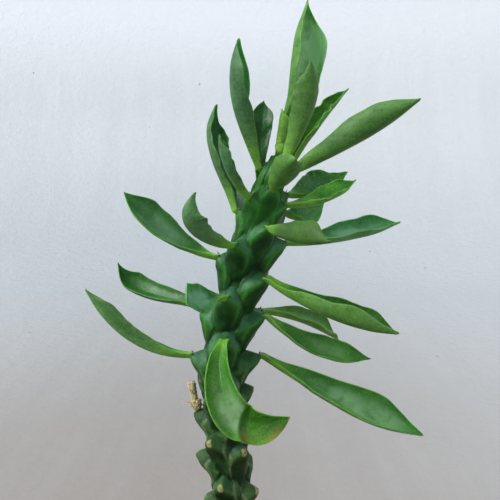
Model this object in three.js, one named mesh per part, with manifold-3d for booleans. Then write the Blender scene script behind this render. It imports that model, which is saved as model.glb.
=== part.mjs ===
// Potted Euphorbia guentheri: a leaning stem covered in tubercles, each with a leaf or a leaf scar,
// in a plain terracotta pot. Millimetres, +Z up, the front of the plant faces -Y.
// The origin is the middle of the pot's underside.

import * as THREE from 'three';
import { mergeVertices } from 'three/addons/utils/BufferGeometryUtils.js';
import Module from 'manifold-3d';

const wasm = await Module();
wasm.setup();

// Driving dimensions
const CLEARANCE = 0.3;

const POT_HEIGHT = 70;
const POT_BASE_RADIUS = 27;
const POT_RIM_RADIUS = 39;
const POT_RIM_HEIGHT = 14;
const POT_RIM_STEP = 2.6;
const POT_WALL = 4;
const POT_FLOOR = 5;
const POT_SIDES = 36;
const SOIL_SIDES = 30;
const DRAIN_RADIUS = 3.5;
const DRAIN_CIRCLE = 15;
const DRAIN_COUNT = 3;
const UNDER_BAND_RADIUS = POT_RIM_RADIUS - POT_RIM_STEP - 1;

const SOIL_LEVEL = 62;
const SOIL_MOUND = 2.2;
const SOIL_RELIEF = 0.7;
const GRIT_COUNT = 20;
const GRIT_SIZE = 1.5;
const GRIT_SEED = 41;
const MOUND_RADIUS = 16;
const SOIL_RING_STEP = 4.4;
const HOLE_DEPTH = 6;
const HOLE_SIDES = 20;

const STEM_ROOT = 40;
const STEM_END = 222.2;
const STEM_ROOT_RADIUS = 4;
const LEAN_LOW = -5;
const LEAN_HIGH = 15.5;
const LEAN_FROM = 118;
const LEAN_TO = 170;
const STEM_SIDES = 10;
const STEM_RING_STEP = 8;

const TUBERCLE_LENGTH = 15;
const TUBERCLE_HALF_WIDTH = 5;
const TUBERCLE_FOOT = SOIL_LEVEL + 3;
const LOWEST_TUBERCLE = 68;
const LOW_RISE = 3.3;
const LOW_AZIMUTH = 115;
const DIVERGENCE = 140;
const MATURE_REACH = 13;

const LEAF_BASE_HALF_WIDTH = 1.3;
const LEAF_WIDEST = 0.7;
const LEAF_BLUNTNESS = 0.55;
const LEAF_THICKNESS = 1.7;
const LEAF_MARGIN = 0.6;
const LEAF_TIP_HALF_WIDTH = 0.35;
const LEAF_FOLD = 20;
const LEAF_CURL = 40;
const LEAF_WAVE = 0.5;
const LEAF_WAVE_RATE = 17;
const LEAF_WAVE_OFFSET = 1.4;
const LEAF_PHASE_STEP = 1.7;
const LEAF_SEAT = CLEARANCE + 0.05;
const LEAF_STEEP_SEAT = 0.8;
const LEAF_RING_LENGTH = 5;
const LEAF_ACROSS = [-1, -0.55, 0, 0.55, 1];

// Heights against radii: the plain body of the stem, and how far out the tubercle tips reach
const CORE_RADIUS = [
  [62, 6.3], [125, 6.3], [150, 7.2], [192, 7], [207, 5], [214, 4.2], [218, 3.2], [222.2, 2],
];
const TIP_RADIUS = [
  [62, 10.5], [100, 11.5], [130, 11.5], [148, 13], [191, 13], [200, 10], [208, 9], [216, 6.5], [222, 5],
];

// A tubercle's side view: how far up it, how far out (0 at the stem's body, 1 at the tip), how wide
const TUBERCLE_PROFILE = [
  [0.0, -0.1, 0.35],
  [0.3, 0.32, 0.85],
  [0.6, 0.62, 1.0],
  [0.84, 0.92, 0.9],
  [1.0, 1.0, 0.7],
  [1.08, 0.66, 0.6],
  [1.17, 0.05, 0.4],
];
const HOOK_LOW = 1.8;
const HOOK_HIGH = 1;
const HOOK_FROM = 135;
const HOOK_TO = 165;

// Tubercles from low to high: the tip's height and its direction round the stem, 0 to the front and
// 90 to the right. A leaf's midrib runs from there through its via points to its tip.
const TUBERCLES = [
  { height: 91.4, azimuth: -80 },
  { height: 95.7, azimuth: 65 },
  { height: 97, azimuth: -145 },
  { height: 99.5, azimuth: -18 },
  { height: 104.5, azimuth: 135 },
  { height: 108.4, azimuth: -90, reach: 12.6 },
  { height: 112.8, azimuth: 37 },
  { height: 113.5, azimuth: -160 },
  { height: 116.5, azimuth: -33 },
  { height: 119, azimuth: 108 },
  { height: 123, azimuth: 32 },
  { height: 128, azimuth: -95, reach: 7.9, stalk: true },
  { height: 126, azimuth: 172 },
  { height: 134.3, azimuth: -22 },
  { height: 134.5, azimuth: 90 },
  { height: 139, azimuth: -132 },
  { height: 141, azimuth: 12 },
  { height: 143.5, azimuth: 150 },
  {
    height: 147.4, azimuth: -90,
    leaf: {
      via: [[-41, 2, 153.2]], tip: [-57.7, 4, 171.3],
      width: 12.2, widest: 0.77, roll: 22, fold: 30, curl: 35, wave: 0.4,
    },
  },
  {
    height: 147, azimuth: 90, reach: 14,
    leaf: { via: [[38, -6, 131.5]], tip: [67.6, -10, 119.9], width: 16.5, roll: 45 },
  },
  {
    height: 152, azimuth: -152,
    leaf: { via: [[-8, 32, 154]], tip: [-6, 50, 151], width: 14 },
  },
  {
    height: 155.7, azimuth: -5,
    leaf: {
      via: [[-5.9, -25, 148], [-0.3, -31, 136]], tip: [17.4, -26, 132.9],
      width: 16.5, blunt: 3, twist: 12,
    },
  },
  {
    height: 162.9, azimuth: 120,
    leaf: { via: [[26.5, 18, 156]], tip: [41, 26, 146], width: 12, roll: 30, fold: 12 },
  },
  {
    height: 164.8, azimuth: -105,
    leaf: {
      via: [[-24.5, 9, 166.4], [-38.9, 17, 168.7]], tip: [-48.3, 20, 179],
      width: 11.2, widest: 0.74, roll: -35, fold: 12, wave: 0.5,
    },
  },
  {
    height: 163.2, azimuth: 70,
    leaf: { via: [[28, -9, 152.8]], tip: [47, -14, 150.1], width: 10.6, roll: 38, fold: 12 },
  },
  {
    height: 170, azimuth: -168,
    leaf: { via: [[-1, 34, 174]], tip: [0, 52, 176], width: 14 },
  },
  {
    height: 171.9, azimuth: -22,
    leaf: {
      via: [[-12.6, -21, 173.2]], tip: [-15.7, -36, 174.7],
      width: 12.5, widest: 0.8, roll: -52, fold: 5, curl: 25,
    },
  },
  {
    height: 176, azimuth: 138,
    leaf: { via: [[9, 32, 178]], tip: [8, 50, 180], width: 14 },
  },
  {
    height: 178, azimuth: 42,
    leaf: { via: [[32.8, -20, 167]], tip: [53.3, -30, 163.5], width: 15, roll: -15, fold: 35, curl: 45 },
  },
  {
    height: 185.2, azimuth: -80, reach: 12,
    leaf: {
      via: [[-26, 2, 192.3]], tip: [-42, 4, 208],
      width: 13.5, widest: 0.77, roll: -38, twist: -8, fold: 12,
    },
  },
  {
    height: 186, azimuth: 172,
    leaf: { via: [[5, 34, 190]], tip: [7, 52, 194], width: 14 },
  },
  {
    height: 190.8, azimuth: -33,
    leaf: { via: [[-10.4, -18, 193.4], [-17, -22, 199.8]], tip: [-14.2, -22, 209.8], width: 13.5 },
  },
  {
    height: 190.1, azimuth: 90,
    leaf: { via: [[40, 4, 191.5]], tip: [60.3, 5, 197], width: 13, roll: 25 },
  },
  {
    height: 194, azimuth: -148,
    leaf: { via: [[2, 30, 202]], tip: [4, 46, 206], width: 13 },
  },
  {
    height: 196.6, azimuth: 22, reach: 11,
    leaf: { via: [[19, -24, 194.6]], tip: [29.1, -40, 195.7], width: 13, roll: -50, fold: 35 },
  },
  {
    height: 202, azimuth: -85, reach: 8.8,
    leaf: { via: [[-5.5, 3, 213.2], [-10, 6, 226]], tip: [-8.4, 10, 240.4], width: 12, roll: -45, curl: 55 },
  },
  {
    height: 200.7, azimuth: 130, reach: 12,
    leaf: {
      via: [[25, 14, 198.6]], tip: [33.3, 20, 203.2],
      width: 11.5, widest: 0.52, roll: 48, fold: 8, curl: 25,
    },
  },
  {
    height: 207.6, azimuth: -43,
    leaf: { via: [[-3.6, -11.5, 218.2]], tip: [-6.2, -12, 228.9], width: 6.2, roll: -40 },
  },
  {
    height: 207, azimuth: -175,
    leaf: { via: [[12, 24, 214]], tip: [12, 38, 218], width: 11 },
  },
  {
    height: 204.4, azimuth: 70,
    leaf: { via: [[32, 2, 206]], tip: [43.5, 5, 212.7], width: 10.5, roll: 16, fold: 14, curl: 32 },
  },
  {
    height: 210.1, azimuth: 12,
    leaf: {
      via: [[14.8, -19, 214.2]], tip: [18.8, -33, 221],
      width: 13.5, widest: 0.6, blunt: 2.4, roll: -25, fold: 25,
    },
  },
  {
    height: 207.6, azimuth: 112,
    leaf: {
      via: [[29.5, 12, 208.7]], tip: [41.6, 16, 215.3],
      width: 15, widest: 0.56, roll: 38, fold: 8, curl: 25,
    },
  },
  {
    height: 213, azimuth: -150,
    leaf: { via: [[8.4, 9, 230.1]], tip: [9.6, 14, 242], width: 8.4, roll: -25, fold: 10, curl: 25 },
  },
  {
    height: 217.5, azimuth: -80, reach: 4.4,
    leaf: {
      via: [[2, -3, 231.2], [-1.9, -4, 245.5]], tip: [0.2, -3, 262.3],
      width: 15.5, widest: 0.77, roll: 30, twist: -68,
    },
  },
  {
    height: 215.5, azimuth: 45,
    leaf: { via: [[38.8, -14, 226.5]], tip: [59.3, -25, 240.1], width: 15, roll: -30, fold: 25, curl: 50 },
  },
  {
    height: 217, azimuth: 170,
    leaf: {
      via: [[20.1, 10, 242.8], [22.5, 12, 260.2]], tip: [25.4, 10, 278],
      width: 21.5, roll: 46, curl: 62,
    },
  },
  {
    height: 219, azimuth: 25,
    leaf: {
      via: [[24.7, -9, 239.2]], tip: [25.3, -10, 254],
      width: 12.2, widest: 0.62, fold: 15, curl: 42, wave: 0.4,
    },
  },
  {
    height: 219.5, azimuth: 105,
    leaf: { via: [[29.8, 5, 234.7]], tip: [40.6, 9, 246.2], width: 8, widest: 0.5, roll: 45, fold: 30 },
  },
];

const BUD_RADIUS = 2;
const BUD_STRETCH = 1.3;
const BUD_SHIFT = 1.3;
const YOUNG_LEAVES = [
  { azimuth: -60, lean: [1.1, -0.6], rise: 13, width: 4.2 },
  { azimuth: 80, lean: [2.4, 0.6], rise: 7.5, width: 3.6 },
  { azimuth: 190, lean: [0.4, 2], rise: 6.5, width: 3.4 },
];

const YOUNG_LEAF_FOLD = 35;

const KNOT_RADIUS = 2.3;
const STUB_LENGTH = 9.5;
const STUB_TILT = 12;
const STUB_RADII = [1.35, 1.1];
const SPIKE_LENGTH = 5;
const SPIKE_RADII = [0.3, 0.45];

const DEGREE = Math.PI / 180;
const UP = new THREE.Vector3(0, 0, 1);

function seededRandom(seed) {
  let state = seed;
  return () => {
    state = (state * 16807) % 2147483647;
    return state / 2147483647;
  };
}

// Value at x on the straight lines through a list of [x, value] pairs
function alongRows(rows, x, column = 1) {
  let index = 0;
  while (index < rows.length - 2 && x > rows[index + 1][0]) {
    index += 1;
  }
  const [low, high] = [rows[index], rows[index + 1]];
  const share = THREE.MathUtils.clamp((x - low[0]) / (high[0] - low[0]), 0, 1);
  return THREE.MathUtils.lerp(low[column], high[column], share);
}

// The stem's middle line stands in the X-Z plane: it leans left low down and right higher up
function stemAxis(height) {
  const step = 1;
  let x = 0;
  for (let z = SOIL_LEVEL; z < height; z += step) {
    const lean = THREE.MathUtils.smoothstep(z, LEAN_FROM, LEAN_TO);
    x += Math.tan(THREE.MathUtils.lerp(LEAN_LOW, LEAN_HIGH, lean) * DEGREE) * Math.min(step, height - z);
  }
  return new THREE.Vector3(x, 0, height);
}

function outward(azimuth) {
  return new THREE.Vector3(Math.sin(azimuth * DEGREE), -Math.cos(azimuth * DEGREE), 0);
}

function sideways(azimuth) {
  return new THREE.Vector3(Math.cos(azimuth * DEGREE), Math.sin(azimuth * DEGREE), 0);
}

function meshGeometry(points, triangles) {
  const coordinates = points.flatMap((p) => [p.x, p.y, p.z]);
  const geometry = new THREE.BufferGeometry();
  geometry.setAttribute('position', new THREE.Float32BufferAttribute(coordinates, 3));
  geometry.setIndex(triangles);
  return geometry;
}

// Closed skin through rings of equal length, with a fan at each end
function skinRings(rings) {
  const count = rings[0].length;
  const triangles = [];
  for (let r = 0; r < rings.length - 1; r += 1) {
    for (let i = 0; i < count; i += 1) {
      const a = r * count + i;
      const b = r * count + ((i + 1) % count);
      triangles.push(a, b, b + count, a, b + count, a + count);
    }
  }
  const last = (rings.length - 1) * count;
  for (let i = 1; i < count - 1; i += 1) {
    triangles.push(0, i + 1, i, last, last + i, last + i + 1);
  }
  return meshGeometry(rings.flat(), triangles);
}

function toSolid(geometry) {
  const bare = geometry.clone();
  bare.deleteAttribute('normal');
  bare.deleteAttribute('uv');
  const merged = mergeVertices(bare, 1e-4);
  return new wasm.Manifold(new wasm.Mesh({
    numProp: 3,
    vertProperties: new Float32Array(merged.attributes.position.array),
    triVerts: new Uint32Array(merged.index.array),
  }));
}

function toGeometry(solid) {
  const mesh = solid.getMesh();
  const geometry = new THREE.BufferGeometry();
  geometry.setAttribute('position', new THREE.BufferAttribute(new Float32Array(mesh.vertProperties), 3));
  geometry.setIndex(new THREE.BufferAttribute(new Uint32Array(mesh.triVerts), 1));
  return geometry;
}

function unite(geometries) {
  return geometries.map(toSolid).reduce((whole, solid) => whole.add(solid));
}

function potGeometry() {
  const bandFoot = POT_HEIGHT - POT_RIM_HEIGHT;
  const profile = [
    [0, 0],
    [POT_BASE_RADIUS - 1, 0],
    [POT_BASE_RADIUS, 1],
    [UNDER_BAND_RADIUS, bandFoot],
    [POT_RIM_RADIUS - 0.6, bandFoot + 0.4],
    [POT_RIM_RADIUS - 0.2, bandFoot + 2],
    [POT_RIM_RADIUS, POT_HEIGHT - 1.6],
    [POT_RIM_RADIUS - 0.8, POT_HEIGHT - 0.3],
    [POT_RIM_RADIUS - 2, POT_HEIGHT],
    [potInnerRadius(POT_HEIGHT) + 0.8, POT_HEIGHT - 0.4],
    [potInnerRadius(POT_HEIGHT - 1.5), POT_HEIGHT - 1.5],
    [potInnerRadius(POT_FLOOR + 3), POT_FLOOR + 3],
    [potInnerRadius(POT_FLOOR) - 3, POT_FLOOR],
    [0, POT_FLOOR],
  ];
  const points = profile.map(([radius, height]) => new THREE.Vector2(radius, height));
  const body = new THREE.LatheGeometry(points, POT_SIDES);
  body.rotateX(Math.PI / 2);
  let pot = toSolid(body);
  for (let i = 0; i < DRAIN_COUNT; i += 1) {
    const angle = (i / DRAIN_COUNT) * 2 * Math.PI;
    const hole = new THREE.CylinderGeometry(DRAIN_RADIUS, DRAIN_RADIUS, POT_FLOOR * 3, 12);
    hole.rotateX(Math.PI / 2);
    hole.translate(DRAIN_CIRCLE * Math.sin(angle), DRAIN_CIRCLE * Math.cos(angle), 0);
    pot = pot.subtract(toSolid(hole));
  }
  return toGeometry(pot);
}

function potInnerRadius(height) {
  const slope = (UNDER_BAND_RADIUS - POT_BASE_RADIUS) / (POT_HEIGHT - POT_RIM_HEIGHT);
  return POT_BASE_RADIUS + slope * height - POT_WALL;
}

// The soil's surface rises a little to the stem and is uneven
function soilHeight(x, y) {
  const radius = Math.hypot(x, y);
  const mound = SOIL_MOUND * Math.exp(-((radius / MOUND_RADIUS) ** 2));
  const uneven = Math.sin(x * 0.41 + 1.3) * Math.cos(y * 0.37) + 0.6 * Math.sin(x * 0.9 - y * 0.8);
  return SOIL_LEVEL - SOIL_MOUND + mound + SOIL_RELIEF * uneven * 0.5;
}

function soilGeometry() {
  const floor = POT_FLOOR + CLEARANCE;
  const ring = (radius, height) => {
    const points = [];
    for (let i = 0; i < SOIL_SIDES; i += 1) {
      const angle = (i / SOIL_SIDES) * 2 * Math.PI;
      const [x, y] = [radius * Math.sin(angle), -radius * Math.cos(angle)];
      points.push(new THREE.Vector3(x, y, height ?? soilHeight(x, y)));
    }
    return points;
  };
  const outer = potInnerRadius(SOIL_LEVEL - 3) - CLEARANCE * 1.5;
  const rings = [
    ring(potInnerRadius(POT_FLOOR) - 3 - CLEARANCE * 2, floor),
    ring(potInnerRadius(POT_FLOOR + 3) - CLEARANCE * 1.5, floor + 3),
    ring(outer),
  ];
  for (let radius = outer - SOIL_RING_STEP; radius > SOIL_RING_STEP / 2; radius -= SOIL_RING_STEP) {
    rings.push(ring(radius));
  }
  let soil = toSolid(skinRings(rings));
  const random = seededRandom(GRIT_SEED);
  for (let i = 0; i < GRIT_COUNT; i += 1) {
    const angle = random() * 2 * Math.PI;
    const radius = 11 + (outer - 14) * Math.sqrt(random());
    const [x, y] = [radius * Math.sin(angle), radius * Math.cos(angle)];
    const grain = new THREE.IcosahedronGeometry(GRIT_SIZE * (0.7 + 0.8 * random()), 0);
    grain.scale(1, 0.6 + 0.4 * random(), 0.6);
    grain.rotateZ(random() * Math.PI);
    grain.translate(x, y, soilHeight(x, y));
    soil = soil.add(toSolid(grain));
  }
  const holeRadius = alongRows(CORE_RADIUS, SOIL_LEVEL) + CLEARANCE * 1.5;
  const hole = skinRings([
    stemRing(STEM_ROOT - CLEARANCE, STEM_ROOT_RADIUS + 2 * CLEARANCE, HOLE_SIDES),
    stemRing(SOIL_LEVEL - HOLE_DEPTH, holeRadius, HOLE_SIDES),
    stemRing(SOIL_LEVEL + HOLE_DEPTH, holeRadius, HOLE_SIDES),
  ]);
  return toGeometry(soil.subtract(toSolid(hole)));
}

function stemRing(height, radius, sides) {
  const middle = stemAxis(height);
  const ring = [];
  for (let i = 0; i < sides; i += 1) {
    ring.push(middle.clone().addScaledVector(outward((i * 360) / sides), radius));
  }
  return ring;
}

function reachOf({ height, reach }) {
  return reach ?? alongRows(TIP_RADIUS, height);
}

function tubercleTip(row) {
  return stemAxis(row.height).addScaledVector(outward(row.azimuth), reachOf(row));
}

function tubercleGeometry(row) {
  const { height, azimuth } = row;
  const foot = Math.max(height - TUBERCLE_LENGTH, TUBERCLE_FOOT);
  const reach = reachOf(row);
  const halfWidth = TUBERCLE_HALF_WIDTH * Math.sqrt(reach / MATURE_REACH);
  const grown = THREE.MathUtils.smoothstep(height, HOOK_FROM, HOOK_TO);
  const hook = THREE.MathUtils.lerp(HOOK_LOW, HOOK_HIGH, grown);
  const rings = TUBERCLE_PROFILE.map(([up, out, wide]) => {
    const z = foot + up * (height - foot);
    const core = alongRows(CORE_RADIUS, z);
    const share = up < 1 && out > 0 ? out ** hook : out;
    const nose = core + share * (reach - core);
    const width = halfWidth * wide;
    const flank = core * 0.9 + 0.3 * (nose - core);
    const shoulder = nose - 0.12 * width - 0.06 * (nose - core);
    const section = [
      [0, nose],
      [0.62, shoulder],
      [1, flank],
      [0.7, core * 0.3],
      [-0.7, core * 0.3],
      [-1, flank],
      [-0.62, shoulder],
    ];
    const middle = stemAxis(z);
    return section.map(([side, away]) => middle.clone()
      .addScaledVector(sideways(azimuth), side * width)
      .addScaledVector(outward(azimuth), away));
  });
  return skinRings(rings);
}

function lowTubercles() {
  const rows = [];
  for (let height = LOWEST_TUBERCLE; height < TUBERCLES[0].height - 1; height += LOW_RISE) {
    rows.push({ height, azimuth: LOW_AZIMUTH + rows.length * DIVERGENCE });
  }
  return rows;
}

function stemGeometry() {
  const heights = [SOIL_LEVEL - HOLE_DEPTH];
  for (let height = SOIL_LEVEL; height < STEM_END; height += STEM_RING_STEP) {
    heights.push(height);
  }
  heights.push(STEM_END);
  const rings = [stemRing(STEM_ROOT, STEM_ROOT_RADIUS, STEM_SIDES)];
  heights.forEach((height) => rings.push(stemRing(height, alongRows(CORE_RADIUS, height), STEM_SIDES)));
  const pieces = [skinRings(rings)];
  [...lowTubercles(), ...TUBERCLES].forEach((row) => pieces.push(tubercleGeometry(row)));
  return toGeometry(unite(pieces));
}

// Smooth curve through evenly spaced points, at t from 0 to 1
function curvePoint(points, t) {
  const last = points.length - 1;
  const result = new THREE.Vector3();
  points.forEach((point, i) => {
    let weight = 1;
    for (let j = 0; j <= last; j += 1) {
      weight *= j === i ? 1 : (t * last - j) / (i - j);
    }
    result.addScaledVector(point, weight);
  });
  return result;
}

function leafHalfWidth(t, width, widest, blunt) {
  const base = LEAF_BASE_HALF_WIDTH;
  if (t < widest) {
    return base + (width / 2 - base) * Math.sin((Math.PI / 2) * (t / widest)) ** 1.5;
  }
  const x = (t - widest) / (1 - widest);
  const pointed = LEAF_BLUNTNESS * (1 - x * x) + (1 - LEAF_BLUNTNESS) * Math.cos((Math.PI / 2) * x) ** 2;
  const taper = blunt ? 1 - x ** blunt : pointed;
  return LEAF_TIP_HALF_WIDTH + (width / 2 - LEAF_TIP_HALF_WIDTH) * taper;
}

// A fleshy blade, folded up along its midrib and waved along its margins
function leafGeometry(base, azimuth, leaf, phase) {
  const points = [base, ...leaf.via.map((p) => new THREE.Vector3(...p)), new THREE.Vector3(...leaf.tip)];
  const { width, widest = LEAF_WIDEST, blunt = 0, roll = 0, twist = 0 } = leaf;
  const { fold = LEAF_FOLD, curl = LEAF_CURL, wave: waved = 1 } = leaf;
  const length = base.distanceTo(points[points.length - 1]);
  const count = THREE.MathUtils.clamp(Math.round(length / LEAF_RING_LENGTH), 6, 10);
  const substeps = 6;
  const rings = [];
  const side = sideways(azimuth);
  for (let k = 0; k <= count * substeps; k += 1) {
    const t = k / (count * substeps);
    const here = curvePoint(points, t);
    const along = curvePoint(points, t + 0.005).sub(curvePoint(points, t - 0.005)).normalize();
    side.addScaledVector(along, -side.dot(along)).normalize();
    if (k % substeps === 0) {
      const turned = side.clone().applyAxisAngle(along, (roll + twist * t) * DEGREE * Math.min(1, t * 3));
      const face = along.clone().cross(turned);
      rings.push(leafRing(here, turned, face, t));
    }
  }
  function leafRing(here, turned, face, t) {
    const half = leafHalfWidth(t, width, widest, blunt);
    const middle = LEAF_THICKNESS * (1.25 - 0.65 * t);
    const opening = Math.min(1, t * 4);
    const upper = [];
    const lower = [];
    LEAF_ACROSS.forEach((s) => {
      const start = fold * DEGREE * opening;
      const bend = curl * DEGREE * opening + 0.05;
      const angle = start + bend * Math.abs(s);
      const x = (Math.sign(s) * half * (Math.sin(angle) - Math.sin(start))) / bend;
      const turn = t * LEAF_WAVE_RATE + phase + s * LEAF_WAVE_OFFSET;
      const wave = LEAF_WAVE * waved * s * s * Math.sin(turn) * Math.min(1, t * 1.5);
      const y = (half * (Math.cos(start) - Math.cos(angle))) / bend + wave;
      const tilt = s === 0 ? 0 : angle * Math.sign(s);
      const thick = LEAF_MARGIN + (middle - LEAF_MARGIN) * (1 - Math.abs(s) ** 1.5);
      upper.push(here.clone().addScaledVector(turned, x).addScaledVector(face, y + middle / 2));
      lower.push(upper[upper.length - 1].clone()
        .addScaledVector(turned, Math.sin(tilt) * thick)
        .addScaledVector(face, -Math.cos(tilt) * thick));
    });
    return [...upper, ...lower];
  }
  return bladeSkin(rings, LEAF_ACROSS.length);
}

// Both faces are split along matching diagonals, so a thin waved blade never crosses itself
function bladeSkin(rings, wide) {
  const triangles = [];
  const size = wide * 2;
  const quad = (a, b, c, d) => triangles.push(a, c, b, a, d, c);
  for (let r = 0; r < rings.length - 1; r += 1) {
    const [near, far] = [r * size, (r + 1) * size];
    for (let i = 0; i < wide - 1; i += 1) {
      triangles.push(near + i, far + i + 1, near + i + 1, near + i, far + i, far + i + 1);
      const [a, b] = [near + wide + i, far + wide + i];
      triangles.push(a, a + 1, b + 1, a, b + 1, b);
    }
    quad(near, far, far + wide, near + wide);
    quad(near + wide - 1, near + size - 1, far + size - 1, far + wide - 1);
  }
  const end = (rings.length - 1) * size;
  for (let i = 0; i < wide - 1; i += 1) {
    quad(i, wide + i, wide + i + 1, i + 1);
    quad(end + i, end + i + 1, end + wide + i + 1, end + wide + i);
  }
  return meshGeometry(rings.flat(), triangles);
}

function leafBase(row) {
  const target = new THREE.Vector3(...row.leaf.via[0]);
  const tip = tubercleTip(row);
  const steep = Math.abs(target.sub(tip).normalize().dot(UP));
  return tip.addScaledVector(outward(row.azimuth), LEAF_SEAT + LEAF_STEEP_SEAT * steep);
}

function stalkGeometry() {
  const row = TUBERCLES.find(({ stalk }) => stalk);
  const tip = tubercleTip(row);
  const knot = new THREE.IcosahedronGeometry(KNOT_RADIUS, 1);
  knot.scale(0.9, 1, 1.25);
  const place = tip.clone().addScaledVector(outward(row.azimuth), KNOT_RADIUS * 0.9 + CLEARANCE);
  knot.translate(place.x, place.y, place.z - 0.4);
  const stub = new THREE.CylinderGeometry(...STUB_RADII, STUB_LENGTH, 8);
  stub.rotateX(Math.PI / 2);
  stub.translate(0, 0, STUB_LENGTH * 0.42);
  stub.rotateY(-STUB_TILT * DEGREE);
  stub.translate(place.x - 0.4, place.y, place.z);
  const spike = new THREE.CylinderGeometry(...SPIKE_RADII, SPIKE_LENGTH, 6);
  spike.rotateZ(86 * DEGREE);
  spike.translate(place.x - 1.1 - SPIKE_LENGTH / 2, place.y - 0.4, place.z + 0.8);
  return toGeometry(unite([knot, stub, spike]));
}

// The bud at the stem's end and its youngest leaves, grown together at their feet
function growingTipGeometry() {
  const foot = stemAxis(STEM_END).add(new THREE.Vector3(BUD_SHIFT, 0, CLEARANCE));
  const bud = new THREE.SphereGeometry(BUD_RADIUS, 10, 6);
  bud.rotateX(Math.PI / 2);
  bud.scale(1, 1, BUD_STRETCH);
  bud.translate(foot.x, foot.y, foot.z + BUD_RADIUS * BUD_STRETCH);
  const leaves = YOUNG_LEAVES.map(({ azimuth, lean, rise, width }, i) => {
    const base = foot.clone().add(new THREE.Vector3(0, 0, 3)).addScaledVector(outward(azimuth), 0.9);
    const tip = base.clone().add(new THREE.Vector3(lean[0], lean[1], rise));
    const middle = base.clone().lerp(tip, 0.5).add(new THREE.Vector3(lean[0] * 0.2, lean[1] * 0.2, 0));
    const leaf = { via: [middle.toArray()], tip: tip.toArray(), width, fold: YOUNG_LEAF_FOLD };
    return leafGeometry(base, azimuth, leaf, i);
  });
  return toGeometry(unite([bud, ...leaves]));
}

const LEAF_GREEN = new THREE.MeshStandardMaterial({ color: 0x3f8a3c, roughness: 0.42, metalness: 0 });
const YOUNG_GREEN = new THREE.MeshStandardMaterial({ color: 0x7fae4a, roughness: 0.45, metalness: 0 });
const STEM_GREEN = new THREE.MeshStandardMaterial({ color: 0x275f33, roughness: 0.5, metalness: 0 });
const DRY_STALK = new THREE.MeshStandardMaterial({ color: 0xb89a6a, roughness: 0.9, metalness: 0 });
const TERRACOTTA = new THREE.MeshStandardMaterial({ color: 0xb4643f, roughness: 0.85, metalness: 0 });
const SOIL = new THREE.MeshStandardMaterial({ color: 0x3b2a20, roughness: 1, metalness: 0 });

const plant = new THREE.Group();

function addPiece(name, geometry, material) {
  const mesh = new THREE.Mesh(geometry, material);
  mesh.name = name;
  plant.add(mesh);
}

addPiece('pot', potGeometry(), TERRACOTTA);
addPiece('soil', soilGeometry(), SOIL);
addPiece('stem', stemGeometry(), STEM_GREEN);
addPiece('growing_tip', growingTipGeometry(), YOUNG_GREEN);
addPiece('dried_flower_stalk', stalkGeometry(), DRY_STALK);
TUBERCLES.filter(({ leaf }) => leaf).forEach((row, i) => {
  const name = `leaf_${String(i + 1).padStart(2, '0')}`;
  addPiece(name, leafGeometry(leafBase(row), row.azimuth, row.leaf, i * LEAF_PHASE_STEP), LEAF_GREEN);
});

export default plant;
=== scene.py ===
# Potted Euphorbia guentheri: fine stem, leaves, soil and pot over the frame's solids.
# Shapes are worked out in millimetres, +Z up, and scaled to metres when their meshes are made.
# Azimuths are in degrees, 0 at the front and 90 at the right.
import math

import bmesh
import bpy
import numpy as np
from mathutils import Matrix, Vector, noise


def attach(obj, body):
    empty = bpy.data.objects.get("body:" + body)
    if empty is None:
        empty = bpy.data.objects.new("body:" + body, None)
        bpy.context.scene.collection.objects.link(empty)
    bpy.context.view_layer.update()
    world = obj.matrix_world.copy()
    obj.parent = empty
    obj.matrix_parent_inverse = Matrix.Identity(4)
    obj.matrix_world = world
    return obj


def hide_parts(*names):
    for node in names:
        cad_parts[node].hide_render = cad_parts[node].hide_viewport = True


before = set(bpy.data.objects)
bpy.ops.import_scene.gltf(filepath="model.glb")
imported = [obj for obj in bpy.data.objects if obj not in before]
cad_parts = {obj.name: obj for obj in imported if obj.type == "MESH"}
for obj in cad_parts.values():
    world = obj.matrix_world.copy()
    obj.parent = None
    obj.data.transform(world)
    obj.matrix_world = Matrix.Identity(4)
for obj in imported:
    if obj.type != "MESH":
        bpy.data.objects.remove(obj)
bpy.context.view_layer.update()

MM = 0.001

# Pot and soil
CLEARANCE = 0.3
POT_HEIGHT = 70
POT_BASE_RADIUS = 27
POT_RIM_RADIUS = 39
POT_RIM_HEIGHT = 14
POT_RIM_STEP = 2.6
POT_WALL = 4
POT_FLOOR = 5
POT_SIDES = 144
DRAIN_RADIUS = 3.5
DRAIN_CIRCLE = 15
DRAIN_COUNT = 3
UNDER_BAND_RADIUS = POT_RIM_RADIUS - POT_RIM_STEP - 1

SOIL_LEVEL = 62
SOIL_MOUND = 2.2
SOIL_RELIEF = 0.7
MOUND_RADIUS = 16
SOIL_SECTORS = 150
SOIL_RINGS = 56
SOIL_INNER_RADIUS = 3
# Clods and crumbs of the soil's top: scale, octaves, seed, height, and whether only their tops show
CLODS = [(0.32, 4, 1, 0.8, False), (0.95, 3, 2, 0.75, True)]
GRAIN_COUNT = 620
GRAIN_SEED = 41
GRAINS_FROM = 8.5
GRAIN_MARGIN = 1.2
GRAIN_LIFT = 0.25
GRAIN_LEAST = 0.42
GRAIN_SPREAD = 1.25
# Kinds of grain, as the soil's material reads them, and their shares
GRAIN_BARK, GRAIN_GRAVEL, GRAIN_WHITE = 0.3, 0.7, 1.0
GRAIN_SHARES = [0.52, 0.36, 0.12]

# Stem
STEM_ROOT = 40
STEM_END = 222.2
STEM_ROOT_RADIUS = 4
STEM_STEP = 0.42
STEM_SECTORS = 200
STEM_ROUGHNESS = 0.24
HOLE_DEPTH = 6
LEAN_LOW = -5
LEAN_HIGH = 15.5
LEAN_FROM = 118
LEAN_TO = 170
YOUNG_FROM = 182
YOUNG_TO = 210

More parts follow.
